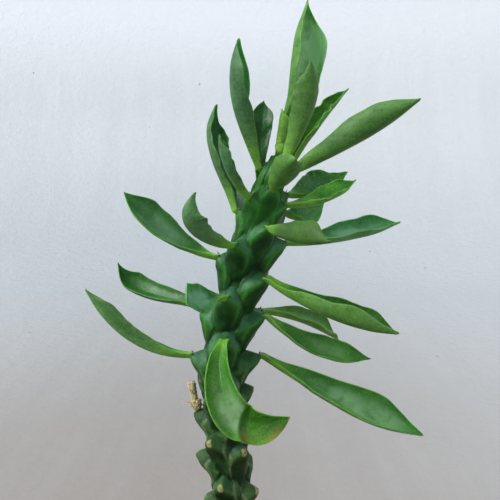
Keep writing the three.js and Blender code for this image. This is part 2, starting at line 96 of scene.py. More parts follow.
# Tubercles
TUBERCLE_LENGTH = 15
TUBERCLE_HALF_WIDTH = 5
TUBERCLE_FOOT = SOIL_LEVEL + 3
TUBERCLE_ARCH = 0.26
TUBERCLE_SPREAD = 1.25
TUBERCLE_POINTS = 81
LOWEST_TUBERCLE = 68
LOW_RISE = 3.3
LOW_AZIMUTH = 115
DIVERGENCE = 140
MATURE_REACH = 13
HOOK_LOW = 1.8
HOOK_HIGH = 1
HOOK_FROM = 135
HOOK_TO = 165
CREASE_FILLET = 0.45
SCAR_HALF_WIDTH = 1.1
SCAR_HALF_HEIGHT = 1.4
SCAR_PLACE = 0.97
SCAR_CUT = 0.45
SCAR_RISE = 0.25

# Leaves
LEAF_BASE_HALF_WIDTH = 1.3
LEAF_WIDEST = 0.7
LEAF_SLIM = 0.1
LEAF_BLUNTNESS = 0.55
LEAF_THICKNESS = 1.7
LEAF_MARGIN = 0.45
LEAF_TIP_HALF_WIDTH = 0.35
LEAF_POINT = 0.9
LEAF_FOLD = 20
LEAF_CURL = 40
LEAF_SOFT = 0.4
LEAF_WAVE = 0.5
LEAF_WAVE_RATE = 17
LEAF_WAVE_OFFSET = 1.4
LEAF_PHASE_STEP = 1.7
LEAF_SEAT = CLEARANCE + 0.05
LEAF_STEEP_SEAT = 0.8
LEAF_RINGS = 84
LEAF_SUBSTEPS = 4
LEAF_COLUMNS = 26
LEAF_CRISP = 0.04
# The fine waves of a margin, up and down and in and out: height, rate, share of the leaf's phase, slant
CRISP_LIFT = [(1, 37, 3, 2), (0.7, 61, 5, -3)]
CRISP_REACH = [(1, 29, 2, 2), (0.8, 53, -1, 1)]
# Where a blade without a crease has it: past its tip
NO_CREASE = 2
# How much further along a crease runs at one margin than at the midrib
CREASE_SLANT = 0.045
CREASE_HALF_WIDTH = 0.016
MIDRIB_GROOVE = 0.3
MIDRIB_KEEL = 0.35
FOOT_DEPTH = 1.1
FOOT_LOOPS = 7
FOOT_TONE = 0.3
LEAF_WARM = 0.3
# How much pale waxy bloom and painted sheen a leaf's upper face has, unless its row says
LEAF_WAXY_SHEEN = 0.25

# Prickles
PRICKLE_SEED = 7
PRICKLE_SIDES = 6
PRICKLE_RADIUS = 0.2
PRICKLE_INSET = 0.75
PRICKLE_SPACING = 1.7
PRICKLE_BURIED = 0.5
PRICKLE_TOP = 212

# Heights against radii: the plain body of the stem, and how far out the tubercle tips reach
CORE_RADIUS = [(62, 6.3), (125, 6.3), (150, 7.2), (192, 7), (207, 5), (214, 4.2), (218, 3.2), (222.2, 2)]
TIP_RADIUS = [
    (62, 10.5), (100, 11.5), (130, 11.5), (148, 13), (191, 13), (200, 10), (208, 9), (216, 6.5), (222, 5),
]

# A tubercle's side view: how far up it, how far out (0 at the stem's body, 1 at the tip), how wide
TUBERCLE_PROFILE = [
    (0.0, -0.1, 0.35),
    (0.3, 0.32, 0.85),
    (0.6, 0.62, 1.0),
    (0.84, 0.92, 0.98),
    (1.0, 1.0, 0.88),
    (1.08, 0.66, 0.74),
    (1.17, 0.05, 0.5),
]

# Bare tubercles from low to high: the tip's height and azimuth, its reach if unusual, and whether the dried
# stalk grows on it
BARE_TUBERCLES = [
    dict(zip(("height", "azimuth", "reach", "stalk"), row)) for row in [
        (91.4, -80), (95.7, 65), (97, -145), (99.5, -18), (104.5, 135), (108.4, -90, 12.6), (112.8, 37),
        (113.5, -160), (116.5, -33), (119, 108), (123, 32), (128, -95, 7.9, True), (126, 172), (134.3, -22),
        (134.5, 90), (139, -132), (141, 12), (143.5, 150),
    ]
]

# The shoulder that the dried stalk stands on
STALK_SHOULDER = dict(height=124.3, azimuth=-92, reach=11.8, stalk=True)

# Leafy tubercles from low to high. A leaf's midrib runs through its via points to its tip, in millimetres.
# Its shape: width; widest, the share of its length where it is widest; slim, how much narrower its foot is;
# blunt, a rounder end; roll, twist, fold and curl in degrees; soft, the share of the fold that is spread over
# the blade; keel, wave and crisp, the size of its keel and of its margins' broad and fine waves; crease, the
# share of its length where it is buckled. Its looks: tone, how light it is, partly its own lightness and
# partly painted light and shade; inner, painted light on its upper face, painted shade where it is negative;
# strip, painted light along one margin, painted shade where it is negative; warm, how yellow; bloom, how much
# pale waxy bloom with a painted sheen lies on its upper face; even, more of that bloom and painted sheen
# towards its margins.
LEAFY_TUBERCLES = [
    dict(height=147.4, azimuth=-90, via=[(-41, 2, 153.2)], tip=(-57.7, 4, 171.3),
         width=12.2, widest=0.77, roll=22, fold=30, curl=35, slim=0, wave=0.4, warm=0.35, tone=0.6,
         strip=-0.9),
    dict(height=147, azimuth=90, reach=14, via=[(38, -6, 131.5)], tip=(67.6, -10, 119.9),
         width=16.5, slim=0, roll=45, warm=0.6, tone=0.3, bloom=0.8),
    dict(height=152, azimuth=-152, via=[(-8, 32, 154)], tip=(-6, 50, 151), width=14),
    dict(height=155.7, azimuth=-5, via=[(-5.9, -25, 148), (-0.3, -31, 136)], tip=(17.4, -26, 132.9),
         width=16.5, slim=-0.2, crease=0.705, blunt=3, twist=12, warm=0.95, tone=0.25, bloom=1.35),
    dict(height=162.9, azimuth=120, via=[(26.5, 18, 156)], tip=(41, 26, 146),
         width=12, roll=30, fold=12, warm=1, tone=0.6, bloom=0.15, strip=-0.9),
    dict(height=164.8, azimuth=-105, via=[(-24.5, 9, 166.4), (-38.9, 17, 168.7)], tip=(-48.3, 20, 179),
         width=11.2, widest=0.74, roll=-35, fold=12, wave=0.5, tone=-0.5, bloom=0, strip=0.5),
    dict(height=163.2, azimuth=70, via=[(28, -9, 152.8)], tip=(47, -14, 150.1),
         width=10.6, roll=38, fold=12, warm=0.7, tone=-0.4, bloom=0.35),
    dict(height=170, azimuth=-168, via=[(-1, 34, 174)], tip=(0, 52, 176), width=14),
    dict(height=171.9, azimuth=-22, via=[(-12.6, -21, 173.2)], tip=(-15.7, -36, 174.7),
         width=12.5, widest=0.8, roll=-52, fold=5, curl=25, warm=0, tone=0.5, bloom=1.3),
    dict(height=176, azimuth=138, via=[(9, 32, 178)], tip=(8, 50, 180), width=14),
    dict(height=178, azimuth=42, via=[(32.8, -20, 167)], tip=(53.3, -30, 163.5),
         width=15, slim=-0.12, roll=-15, fold=35, curl=45, warm=0.75, tone=0, inner=-0.8),
    dict(height=185.2, azimuth=-80, reach=12, via=[(-26, 2, 192.3)], tip=(-42, 4, 208),
         width=13.5, widest=0.77, roll=-38, twist=-8, fold=12, tone=-0.55, bloom=0.8, strip=0.9),
    dict(height=186, azimuth=172, via=[(5, 34, 190)], tip=(7, 52, 194), width=14),
    dict(height=190.8, azimuth=-33, crisp=4, via=[(-10.4, -18, 193.4), (-17, -22, 199.8)],
         tip=(-14.2, -22, 209.8), width=13.5, warm=0.1, tone=-0.1),
    dict(height=190.1, azimuth=90, via=[(40, 4, 191.5)], tip=(60.3, 5, 197),
         width=13, roll=25, warm=0, tone=0.9, bloom=1.2),
    dict(height=194, azimuth=-148, via=[(2, 30, 202)], tip=(4, 46, 206), width=13),
    dict(height=196.6, azimuth=22, reach=11, via=[(19, -24, 194.6)], tip=(29.1, -40, 195.7),
         width=13, slim=0, roll=-50, fold=35, warm=0.8, tone=-1.15),
    dict(height=202, azimuth=-85, reach=8.8, crisp=4, via=[(-5.5, 3, 213.2), (-10, 6, 226)],
         tip=(-8.4, 10, 240.4), width=12, roll=-45, curl=55, warm=0.1, tone=-0.4, inner=0.6),
    dict(height=200.7, azimuth=130, reach=12, via=[(25, 14, 198.6)], tip=(33.3, 20, 203.2),
         width=11.5, widest=0.52, roll=48, fold=8, curl=25, tone=1),
    dict(height=207.6, azimuth=-43, via=[(-3.6, -11.5, 218.2)], tip=(-6.2, -12, 228.9),
         width=6.2, roll=-40, warm=0.1, tone=-0.35),
    dict(height=207, azimuth=-175, via=[(12, 24, 214)], tip=(12, 38, 218), width=11),
    dict(height=204.4, azimuth=70, crisp=3, via=[(32, 2, 206)], tip=(43.5, 5, 212.7),
         width=10.5, roll=16, fold=14, curl=32, warm=0.9, tone=1.2, bloom=0),
    dict(height=210.1, azimuth=12, via=[(14.8, -19, 214.2)], tip=(18.8, -33, 221),
         width=13.5, widest=0.6, blunt=2.4, roll=-25, fold=25, warm=0.8, tone=-0.25, soft=1, keel=0.2),
    dict(height=207.6, azimuth=112, crisp=4, via=[(29.5, 12, 208.7)], tip=(41.6, 16, 215.3),
         width=15, widest=0.56, roll=38, fold=8, curl=25, tone=0.35, bloom=0.1),
    dict(height=213, azimuth=-150, via=[(8.4, 9, 230.1)], tip=(9.6, 14, 242),
         width=8.4, roll=-25, fold=10, curl=25, warm=0, tone=-1.2, bloom=0),
    dict(height=217.5, azimuth=-80, reach=4.4, via=[(2, -3, 231.2), (-1.9, -4, 245.5)],
         tip=(0.2, -3, 262.3), width=15.5, widest=0.77, roll=30, twist=-68, warm=0, tone=-0.5, inner=1.4),
    dict(height=215.5, azimuth=45, via=[(38.8, -14, 226.5)], tip=(59.3, -25, 240.1),
         width=15, roll=-30, fold=25, curl=50, warm=0.6, tone=-0.25, strip=-0.5),
    dict(height=217, azimuth=170, crisp=3, via=[(20.1, 10, 242.8), (22.5, 12, 260.2)],
         tip=(25.4, 10, 278), width=21.5, roll=46, curl=62, warm=0.7, tone=0.25, inner=1, bloom=1.1, even=6),
    dict(height=219, azimuth=25, crisp=5, via=[(24.7, -9, 239.2)], tip=(25.3, -10, 254),
         width=12.2, wave=0.4, widest=0.62, fold=15, curl=42, warm=0.7, tone=-0.3),
    dict(height=219.5, azimuth=105, crisp=7, via=[(29.8, 5, 234.7)], tip=(40.6, 9, 246.2),
         width=8, widest=0.5, roll=45, fold=30, warm=0.9, tone=0.4, bloom=0),
]

# Growing tip
BUD_RADIUS = 2
BUD_STRETCH = 1.3
BUD_SHIFT = 1.3
BUD_ROWS = 28
BUD_COLUMNS = 40
YOUNG_LEAF_FOLD = 35
YOUNG_LEAVES = [
    dict(azimuth=-60, lean=(1.1, -0.6), rise=13, width=4.2),
    dict(azimuth=80, lean=(2.4, 0.6), rise=7.5, width=3.6),
    dict(azimuth=190, lean=(0.4, 2), rise=6.5, width=3.4),
]

# Dried flower stalk
KNOT_RADIUS = 2.3
KNOT_AXES = (1.8, 1.9, 2.4)
KNOT_ROWS = 22
KNOT_COLUMNS = 30
STUB_LENGTH = 9.5
STUB_TILT = 12
STUB_STEPS = 20
SPIKE_LENGTH = 5
SPIKE_STEPS = 12
BRACT_COUNT = 14
BRACT_SEED = 19
BRACT_ROWS = 9
BRACT_COLUMNS = 7

# Backdrop
STAGE_FLOOR = 900
STAGE_CORNER = 450
STAGE_TOP = 1500
STAGE_SIDES = 96

# Lights, in metres and watts
SKY_COLOUR = (0.88, 0.94, 1.0)
SKY_STRENGTH = 0.8
LIGHT_AIM = (0, 0, 0.18)
LIGHTS = [
    dict(name="window", place=(-0.95, -0.35, 1.05), size=0.9, power=24.5, colour=(0.96, 0.99, 1.0)),
    dict(name="room", place=(0.9, -0.5, 0.7), size=0.8, power=2, colour=(1.0, 0.98, 0.95)),
]

# Camera: as far from the plant, as high and as wide as the photograph's
VIEW_TARGET = (4.44, 0, 187.5)
VIEW_DISTANCE = 260
VIEW_PITCH = 8
VIEW_HALF_HEIGHT = 92.5
SENSOR_WIDTH = 36
CLIP_START = 10


# Numbers

def straight_along(rows, x):
    """Straight lines through the rows."""
    return np.interp(x, *np.array(rows, float).T)


def smooth_along(rows, x, column):
    """A smooth curve through the rows that never overshoots them."""
    table = np.array(rows, float)
    xs, ys = table[:, 0], table[:, column]
    slope = np.diff(ys) / np.diff(xs)
    product, total = slope[:-1] * slope[1:], slope[:-1] + slope[1:]
    tangent = np.concatenate([slope[:1], np.zeros(len(xs) - 2), slope[-1:]])
    tangent[1:-1][product > 0] = (2 * product)[product > 0] / total[product > 0]
    x = np.clip(x, xs[0], xs[-1])
    k = np.clip(np.searchsorted(xs, x) - 1, 0, len(slope) - 1)
    h = xs[k + 1] - xs[k]
    t = (x - xs[k]) / h
    return (
        ys[k] * (1 + 2 * t) * (1 - t) ** 2
        + ys[k + 1] * t * t * (3 - 2 * t)
        + h * tangent[k] * t * (1 - t) ** 2
        - h * tangent[k + 1] * t * t * (1 - t)
    )


def smoothstep(x, low, high):
    t = np.clip((x - low) / (high - low), 0, 1)
    return t * t * (3 - 2 * t)


def hump(x, middle, width):
    """1 at the middle, and smoothly down to 0 on both sides."""
    return np.exp(-(((x - middle) / width) ** 2))


def unit(vector):
    return vector / np.linalg.norm(vector)


def turns(count):
    """Angles of evenly spaced points round a circle, in radians."""
    return np.arange(count) * 2 * math.pi / count


def ring(radius, height, turn):
    """Points round the Z axis, from the front towards the right."""
    return np.stack([radius * np.sin(turn), -radius * np.cos(turn), height + 0 * turn], -1)


def outward(azimuth):
    return ring(1, 0, np.radians(azimuth))


def stem_axis(height):
    """The stem's middle line, in the X-Z plane: it leans left low down and right higher up."""
    heights = np.atleast_1d(np.asarray(height, float))
    steps = np.arange(SOIL_LEVEL, STEM_END + 1)
    lean = LEAN_LOW + (LEAN_HIGH - LEAN_LOW) * smoothstep(steps, LEAN_FROM, LEAN_TO)
    x = np.concatenate([[0], np.cumsum(np.tan(np.radians(lean)))])
    places = np.interp(heights, np.append(steps, steps[-1] + 1), x)
    return np.stack([places, np.zeros(len(heights)), heights], 1)


def turbulence(points, scale, octaves=3, seed=0.0):
    """Seeded fractal noise at each point, about -1 to 1."""
    shift = Vector((seed * 13.7, seed * 7.1, seed * 3.3))
    return np.array([noise.fractal(Vector(p) * scale + shift, 1.0, 2.0, octaves) for p in points])


# Making meshes

def grid_faces(rows, columns, closed=True):
    """Quads between rows of points, wrapped round if closed."""
    r, c = np.meshgrid(np.arange(rows - 1), np.arange(columns if closed else columns - 1), indexing="ij")
    a = r * columns + c
    b = r * columns + (c + 1) % columns
    return np.stack([a, b, b + columns, a + columns], -1).reshape(-1, 4).tolist()


def skin_faces(rows, columns):
    """A closed skin: quads between rings of points, and a fan to each of the two end points after them."""
    faces = grid_faces(rows, columns)
    low, high, last = rows * columns, rows * columns + 1, (rows - 1) * columns
    for i in range(columns):
        j = (i + 1) % columns
        faces += [[low, j, i], [high, last + i, last + j]]
    return faces


def globe(rows, columns):
    """Polar angle and turn of each point of a ball, ring by ring from its lowest point up."""
    return np.meshgrid(np.arange(rows + 1) * math.pi / rows, turns(columns), indexing="ij")


def joined(parts):
    """Several meshes as one: their points, faces and marks."""
    points, faces = [], []
    for spots, corners, _ in parts:
        faces += [[len(points) + v for v in face] for face in corners]
        points += list(spots)
    return points, faces, {key: np.concatenate([part[2][key] for part in parts]) for key in parts[0][2]}


def add_object(name, data):
    item = bpy.data.objects.new(name, data)
    bpy.context.scene.collection.objects.link(item)
    return item


def make_mesh(name, material, points, faces):
    mesh = bpy.data.meshes.new(name)
    mesh.from_pydata((np.asarray(points) * MM).tolist(), [], faces)
    mesh.materials.append(material)
    mesh.shade_smooth()
    return add_object(name, mesh)


def make_piece(name, slot, material, points, faces, marks):
    """A piece of the plant. Its marks are point attributes that its material reads."""
    piece = make_mesh(name, material, points, faces)
    for key, values in marks.items():
        layer = piece.data.attributes.new(key, "FLOAT", "POINT")
        layer.data.foreach_set("value", np.ascontiguousarray(values, dtype=np.float32))
    piece.data.update()
    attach(piece, "root")
    return piece


# Building materials

class Shader:
    """A node material under construction. Each method adds nodes and gives the last one's output."""

    def __init__(self, name):
        self.material = bpy.data.materials.new(name)
        self.material.use_nodes = True
        self.tree = self.material.node_tree
        self.surface = self.tree.nodes["Principled BSDF"]

    def put(self, socket, value):
        if isinstance(value, bpy.types.NodeSocket):
            self.tree.links.new(value, socket)
        elif isinstance(value, tuple) and len(value) == 3 and socket.type == "RGBA":
            socket.default_value = (*value, 1)
        else:
            socket.default_value = value

    def add(self, kind, inputs, output=0, **settings):
        node = self.tree.nodes.new(kind)
        for key, value in settings.items():
            setattr(node, key, value)
        for key, value in inputs.items():
            self.put(node.inputs[key], value)
        return node.outputs[output]

    def value(self, name):
        return self.add("ShaderNodeAttribute", {}, "Fac", attribute_name=name)

    def place(self):
        return self.add("ShaderNodeTexCoord", {}, "Object")

    def coordinate(self, axis):
        return self.add("ShaderNodeSeparateXYZ", {0: self.place()}, axis)

    def stretched(self, *scale):
        return self.add("ShaderNodeMapping", {"Vector": self.place(), "Scale": scale})

    def noise(self, scale, detail=3.0, roughness=0.55, vector=None):
        inputs = {"Vector": vector or self.place(), "Scale": scale, "Detail": detail, "Roughness": roughness}
        return self.add("ShaderNodeTexNoise", inputs, "Fac")

    def cells(self, scale):
        return self.add("ShaderNodeTexVoronoi", {"Vector": self.place(), "Scale": scale}, "Distance")

    def specks(self, scale, size):
        """1 in the middle of each cell, and 0 from size outwards."""
        return self.step(self.cells(scale), 0.0, size, 1.0, 0.0)

    def math(self, operation, a, b=0.0):
        return self.add("ShaderNodeMath", {0: a, 1: b}, operation=operation)

    def times(self, value, *factors):
        for factor in factors:
            value = self.math("MULTIPLY", value, factor)
        return value

    def step(self, value, low, high, bottom=0.0, top=1.0):
        """Smoothly from bottom at low to top at high."""
        inputs = {"Value": value, "From Min": low, "From Max": high, "To Min": bottom, "To Max": top}
        return self.add("ShaderNodeMapRange", inputs, interpolation_type="SMOOTHSTEP")

    def mix(self, factor, a, b, blend="MIX"):
        return self.add("ShaderNodeMix", {0: factor, 6: a, 7: b}, 2, data_type="RGBA", blend_type=blend)

    def layers(self, colour, *rows):
        """Tints laid over a colour one by one, each as far as its factor says."""
        for factor, tint in rows:
            colour = self.mix(factor, colour, tint)
        return colour

    def bumps(self, *rows):
        """Bumps on each other, each a height, a strength and a distance."""
        normal = {}
        for height, strength, distance in rows:
            inputs = {"Height": height, "Strength": strength, "Distance": distance, **normal}
            normal = {"Normal": self.add("ShaderNodeBump", inputs)}
        return normal["Normal"]

    def finish(self, **inputs):
        for key, value in inputs.items():
            self.put(self.surface.inputs[key.replace("_", " ")], value)
        return self.material


def leaf_material(name, upper_pair, sunny_pair, cool_pair, warm_pair, foot):
    s = Shader(name)
    t, under, warm = s.value("along"), s.value("under"), s.value("warm")
    edge = s.math("ABSOLUTE", s.value("across"))
    blotch = s.step(s.noise(90, 4, 0.6), 0.35, 0.65)
    upper = s.mix(warm, s.mix(blotch, *upper_pair), s.mix(blotch, *sunny_pair))
    lower = s.mix(warm, s.mix(blotch, *cool_pair), s.mix(blotch, *warm_pair))
    # The foot of a leaf is pale yellow-green, further up it below than above
    upper = s.mix(s.step(t, 0.02, 0.2, 0.8, 0.0), upper, foot)
    lower = s.mix(s.step(t, 0.03, 0.42, 0.85, 0.0), lower, foot)
    # Faint side veins slant from the midrib to the margins
    slant = s.math("SUBTRACT", s.times(t, 26.0), s.times(edge, 3.2))
    slant = s.math("ADD", slant, s.times(s.noise(120, 2), 1.6))
    vein = s.math("POWER", s.math("ABSOLUTE", s.math("SINE", slant)), 7.0)
    vein = s.times(vein, s.step(edge, 0.06, 0.2))
    rib = s.times(s.step(edge, 0.015, 0.085, 1.0, 0.0), s.step(t, 0.1, 0.9, 0.3, 0.0))
    streaks = s.noise(420, 3, 0.6, s.stretched(0.35, 0.35, 1.0))
    margin = s.times(s.step(edge, 0.96, 0.995, 0.0, 0.3), s.step(s.noise(700, 3, 0.6), 0.3, 0.7, 0.6, 1.0))
    dull = s.times(s.step(s.noise(230, 4, 0.65), 0.5, 0.68, 0.0, 0.2), under)
    mottle = s.noise(1300, 4, 0.65)
    spots = s.times(s.specks(420, 0.13), s.step(s.noise(45, 2), 0.6, 0.72, 0.0, 0.4))
    # A pale waxy bloom lies in streaks along the middle of the upper face, painted with a sheen: partly the
    # wax's own colour, partly a painted reflection of the light
    waxy_sheen = s.times(
        s.step(t, 0.2, 0.5), s.step(t, 0.78, 0.97, 1.0, 0.2), s.step(edge, 0.25, 0.85, 1.0, 0.1),
        s.step(s.noise(110, 3, 0.6), 0.35, 0.6, 0.25, 1.0),
        s.times(s.value("bloom"), s.step(under, 0.0, 0.6, 1.0, 0.0)),
    )
    sear = s.times(s.value("sear"), s.step(s.noise(170, 4, 0.6), 0.38, 0.6, 0.15, 0.75))
    colour = s.layers(
        s.mix(under, upper, lower),
        (s.times(vein, 0.12), (0.09, 0.27, 0.04)),
        (rib, (0.11, 0.30, 0.04)),
        (s.step(streaks, 0.35, 0.7, 0.0, 0.38), (0.012, 0.060, 0.010)),
        (margin, (0.20, 0.36, 0.10)),
        (dull, (0.110, 0.155, 0.070)),
        (s.step(mottle, 0.5, 0.66, 0.0, 0.42), (0.10, 0.25, 0.06)),
        (s.step(mottle, 0.34, 0.48, 0.4, 0.0), (0.006, 0.045, 0.010)),
        (spots, (0.22, 0.30, 0.16)),
        (s.step(t, 0.996, 1.0, 0.0, 0.6), (0.09, 0.09, 0.03)),
        # Painted sheen: the bloom's pale colour stands in for the light's reflection
        (waxy_sheen, s.mix(warm, (0.125, 0.285, 0.165), (0.185, 0.325, 0.140))),
        (sear, (0.190, 0.130, 0.040)),
    )
    # The tone scales the whole colour: partly the leaf's own lightness, partly painted light and shade
    shade = s.math("POWER", 1.6, s.value("tone"))
    bright = s.add("ShaderNodeCombineColor", {0: shade, 1: shade, 2: shade})
    rough = s.math("ADD", s.step(s.noise(160, 3), 0.3, 0.7, 0.27, 0.40), s.times(under, 0.2))
    relief = s.bumps(
        (s.noise(2600, 2, 0.5), 0.22, 0.0001), (s.noise(260, 2, 0.5), 0.35, 0.0004), (vein, 0.25, 0.00012),
    )
    return s.finish(
        Base_Color=s.mix(1.0, colour, bright, "MULTIPLY"), Roughness=rough, Normal=relief,
        Subsurface_Weight=0.35, Subsurface_Radius=(0.45, 1.0, 0.12), Subsurface_Scale=0.002,
        Specular_IOR_Level=0.2,
    )


def stem_material():
    s = Shader("stem_skin")
    young = s.value("young")
    scar = s.times(s.value("scar"), s.step(s.noise(620, 3, 0.6), 0.35, 0.55, 0.5, 1.0))
    height = s.coordinate("Z")
    old = s.step(height, 0.128, 0.158, 1.0, 0.0)
    blotch = s.step(s.noise(130, 4, 0.6), 0.35, 0.65)
    fine = s.noise(1100, 3, 0.6)
    # Colour of the caps: a pale waxy bloom with a painted highlight where their tops face the sky
    bloom = s.mix(blotch, (0.020, 0.095, 0.030), (0.062, 0.185, 0.090))
    bloom = s.mix(old, bloom, s.mix(blotch, (0.018, 0.062, 0.016), (0.052, 0.115, 0.038)))
    line = s.times(s.value("line"), s.step(s.noise(520, 4, 0.65), 0.35, 0.6, 0.3, 1.0))
    # Old skin near the soil turns corky
    cork = s.times(s.step(height, 0.064, 0.096, 0.8, 0.0), s.step(s.noise(260, 4, 0.65), 0.35, 0.6))
    # A leaf scar is a tan pad with a brown middle
    pad = s.mix(s.step(s.noise(900, 4, 0.7), 0.4, 0.6), (0.40, 0.30, 0.14), (0.17, 0.085, 0.035))
    pad = s.mix(s.step(scar, 0.55, 0.95), (0.20, 0.24, 0.09), pad)
    colour = s.layers(
        s.mix(blotch, (0.003, 0.026, 0.004), (0.014, 0.070, 0.008)),
        (young, (0.014, 0.088, 0.007)),
        (old, s.mix(blotch, (0.006, 0.025, 0.005), (0.019, 0.056, 0.010))),
        # Painted shade in the hollow of each hood's face
        (s.times(s.value("hollow"), 0.35), (0.002, 0.016, 0.003)),
        # Painted highlight along each hood's rim
        (s.times(s.value("rim"), 0.75), s.mix(old, (0.046, 0.215, 0.024), (0.070, 0.150, 0.036))),
        # Caps: their bloom and painted highlight, weaker where the stem is young
        (s.times(s.value("cap"), s.step(young, 0.0, 1.0, 0.75, 0.3)), bloom),
        (s.times(s.specks(900, 0.22), 0.18), (0.06, 0.15, 0.07)),
        (s.step(fine, 0.35, 0.7, 0.0, 0.25), (0.006, 0.035, 0.012)),
        # Painted shade in the creases between tubercles, turning green where the stem is young
        (s.times(s.value("crease"), 0.6), s.mix(young, (0.003, 0.018, 0.005), (0.014, 0.100, 0.008))),
        (s.times(line, s.step(old, 0.0, 1.0, 0.3, 0.7)), s.mix(old, (0.04, 0.20, 0.02), (0.19, 0.23, 0.11))),
        (cork, (0.16, 0.12, 0.065)),
        (s.step(scar, 0.05, 0.45), pad),
    )
    rough = s.step(s.noise(300, 3), 0.3, 0.7, 0.36, 0.52)
    rough = s.math("ADD", rough, s.times(s.math("MAXIMUM", scar, cork), 0.4))
    relief = s.bumps(
        (fine, 0.35, 0.00018), (s.cells(1500), 0.18, 0.00012), (s.noise(240, 2, 0.5), 0.3, 0.0005),
    )
    return s.finish(
        Base_Color=colour, Roughness=rough, Normal=relief, Subsurface_Weight=0.05,
        Subsurface_Radius=(0.4, 1.0, 0.3), Subsurface_Scale=0.001, Specular_IOR_Level=0.13,
    )


def prickle_material():
    s = Shader("prickles")
    colour = s.mix(s.noise(2500, 3), (0.055, 0.030, 0.018), (0.16, 0.10, 0.06))
    return s.finish(Base_Color=colour, Roughness=0.6, Normal=s.bumps((s.noise(4000, 2), 0.3, 0.0001)))


def stalk_material():
    s = Shader("dry_stalk")
    fibre = s.noise(2600, 4, 0.65, s.stretched(1.0, 1.0, 0.18))
    colour = s.layers(
        s.mix(s.step(fibre, 0.35, 0.65), (0.34, 0.23, 0.09), (0.72, 0.62, 0.33)),
        (s.step(s.noise(420, 4, 0.7), 0.48, 0.62, 0.0, 0.85), (0.085, 0.046, 0.020)),
        (s.step(s.value("frayed"), 0.2, 1.0, 0.0, 0.75), (0.62, 0.55, 0.36)),
    )
    rough = s.step(fibre, 0.3, 0.7, 0.75, 0.95)
    return s.finish(Base_Color=colour, Roughness=rough, Normal=s.bumps((fibre, 0.8, 0.0003)))


def soil_material():
    """The kind of a point is 0 in the soil, and as GRAIN_BARK and the others say in a grain."""
    s = Shader("soil")
    kind = s.value("kind")
    crumbs = s.noise(900, 6, 0.7)
    gravel = s.mix(s.noise(1500, 4, 0.7), (0.20, 0.17, 0.14), (0.46, 0.42, 0.36))
    bark = s.mix(s.noise(1300, 4, 0.7), (0.05, 0.024, 0.012), (0.17, 0.09, 0.045))
    white = s.mix(s.noise(1800, 3, 0.6), (0.55, 0.53, 0.48), (0.80, 0.79, 0.75))
    colour = s.layers(
        s.mix(s.step(crumbs, 0.35, 0.7), (0.018, 0.011, 0.006), (0.075, 0.046, 0.026)),
        (s.step(s.noise(140, 3), 0.4, 0.7, 0.0, 0.5), (0.105, 0.072, 0.045)),
        (s.times(s.specks(700, 0.16), 0.55), (0.16, 0.10, 0.05)),
        (s.step(kind, 0.1, 0.2), bark),
        (s.step(kind, 0.45, 0.55), gravel),
        (s.step(kind, 0.8, 0.9), white),
    )
    relief = s.bumps((s.noise(650, 5, 0.7), 0.9, 0.0011), (crumbs, 0.7, 0.0004))
    rough = s.step(crumbs, 0.3, 0.7, 0.82, 1.0)
    return s.finish(Base_Color=colour, Roughness=rough, Normal=relief, Specular_IOR_Level=0.3)


def pot_material():
    s = Shader("terracotta")
    height = s.coordinate("Z")
    # Lime bloom gathers near the foot and under the rim, and edges are rubbed pale
    low = s.step(height, 0.002, 0.024, 1.0, 0.0)
    band = s.times(s.step(height, 0.044, 0.055), s.step(height, 0.056, 0.058, 1.0, 0.0))
    bloom = s.times(s.math("MAXIMUM", low, band), s.step(s.noise(70, 6, 0.68), 0.46, 0.66))
    rubbed = s.times(s.step(height, 0.0684, 0.0698), s.step(s.noise(180, 4), 0.4, 0.6, 0.2, 0.7))
    damp = s.times(s.value("inside"), s.step(height, 0.060, 0.0645, 0.75, 0.0))
    colour = s.layers(
        s.mix(s.step(s.noise(38, 5, 0.6), 0.35, 0.65), (0.40, 0.150, 0.070), (0.56, 0.235, 0.120)),
        (s.step(s.noise(900, 4, 0.7), 0.35, 0.75, 0.0, 0.45), (0.66, 0.36, 0.22)),
        (s.times(s.specks(650, 0.12), 0.6), (0.16, 0.075, 0.045)),
        (s.times(bloom, 0.6), (0.74, 0.66, 0.57)),
        (rubbed, (0.66, 0.36, 0.22)),
        (damp, (0.15, 0.06, 0.032)),
    )
    # Shallow rings left by the wheel
    wheel = s.noise(900, 3, 0.6, s.stretched(0.02, 0.02, 1.0))
    relief = s.bumps((wheel, 0.45, 0.0003), (s.noise(1600, 4, 0.7), 0.35, 0.0003))
    return s.finish(Base_Color=colour, Roughness=s.step(s.noise(300, 4), 0.3, 0.7, 0.74, 0.92), Normal=relief)


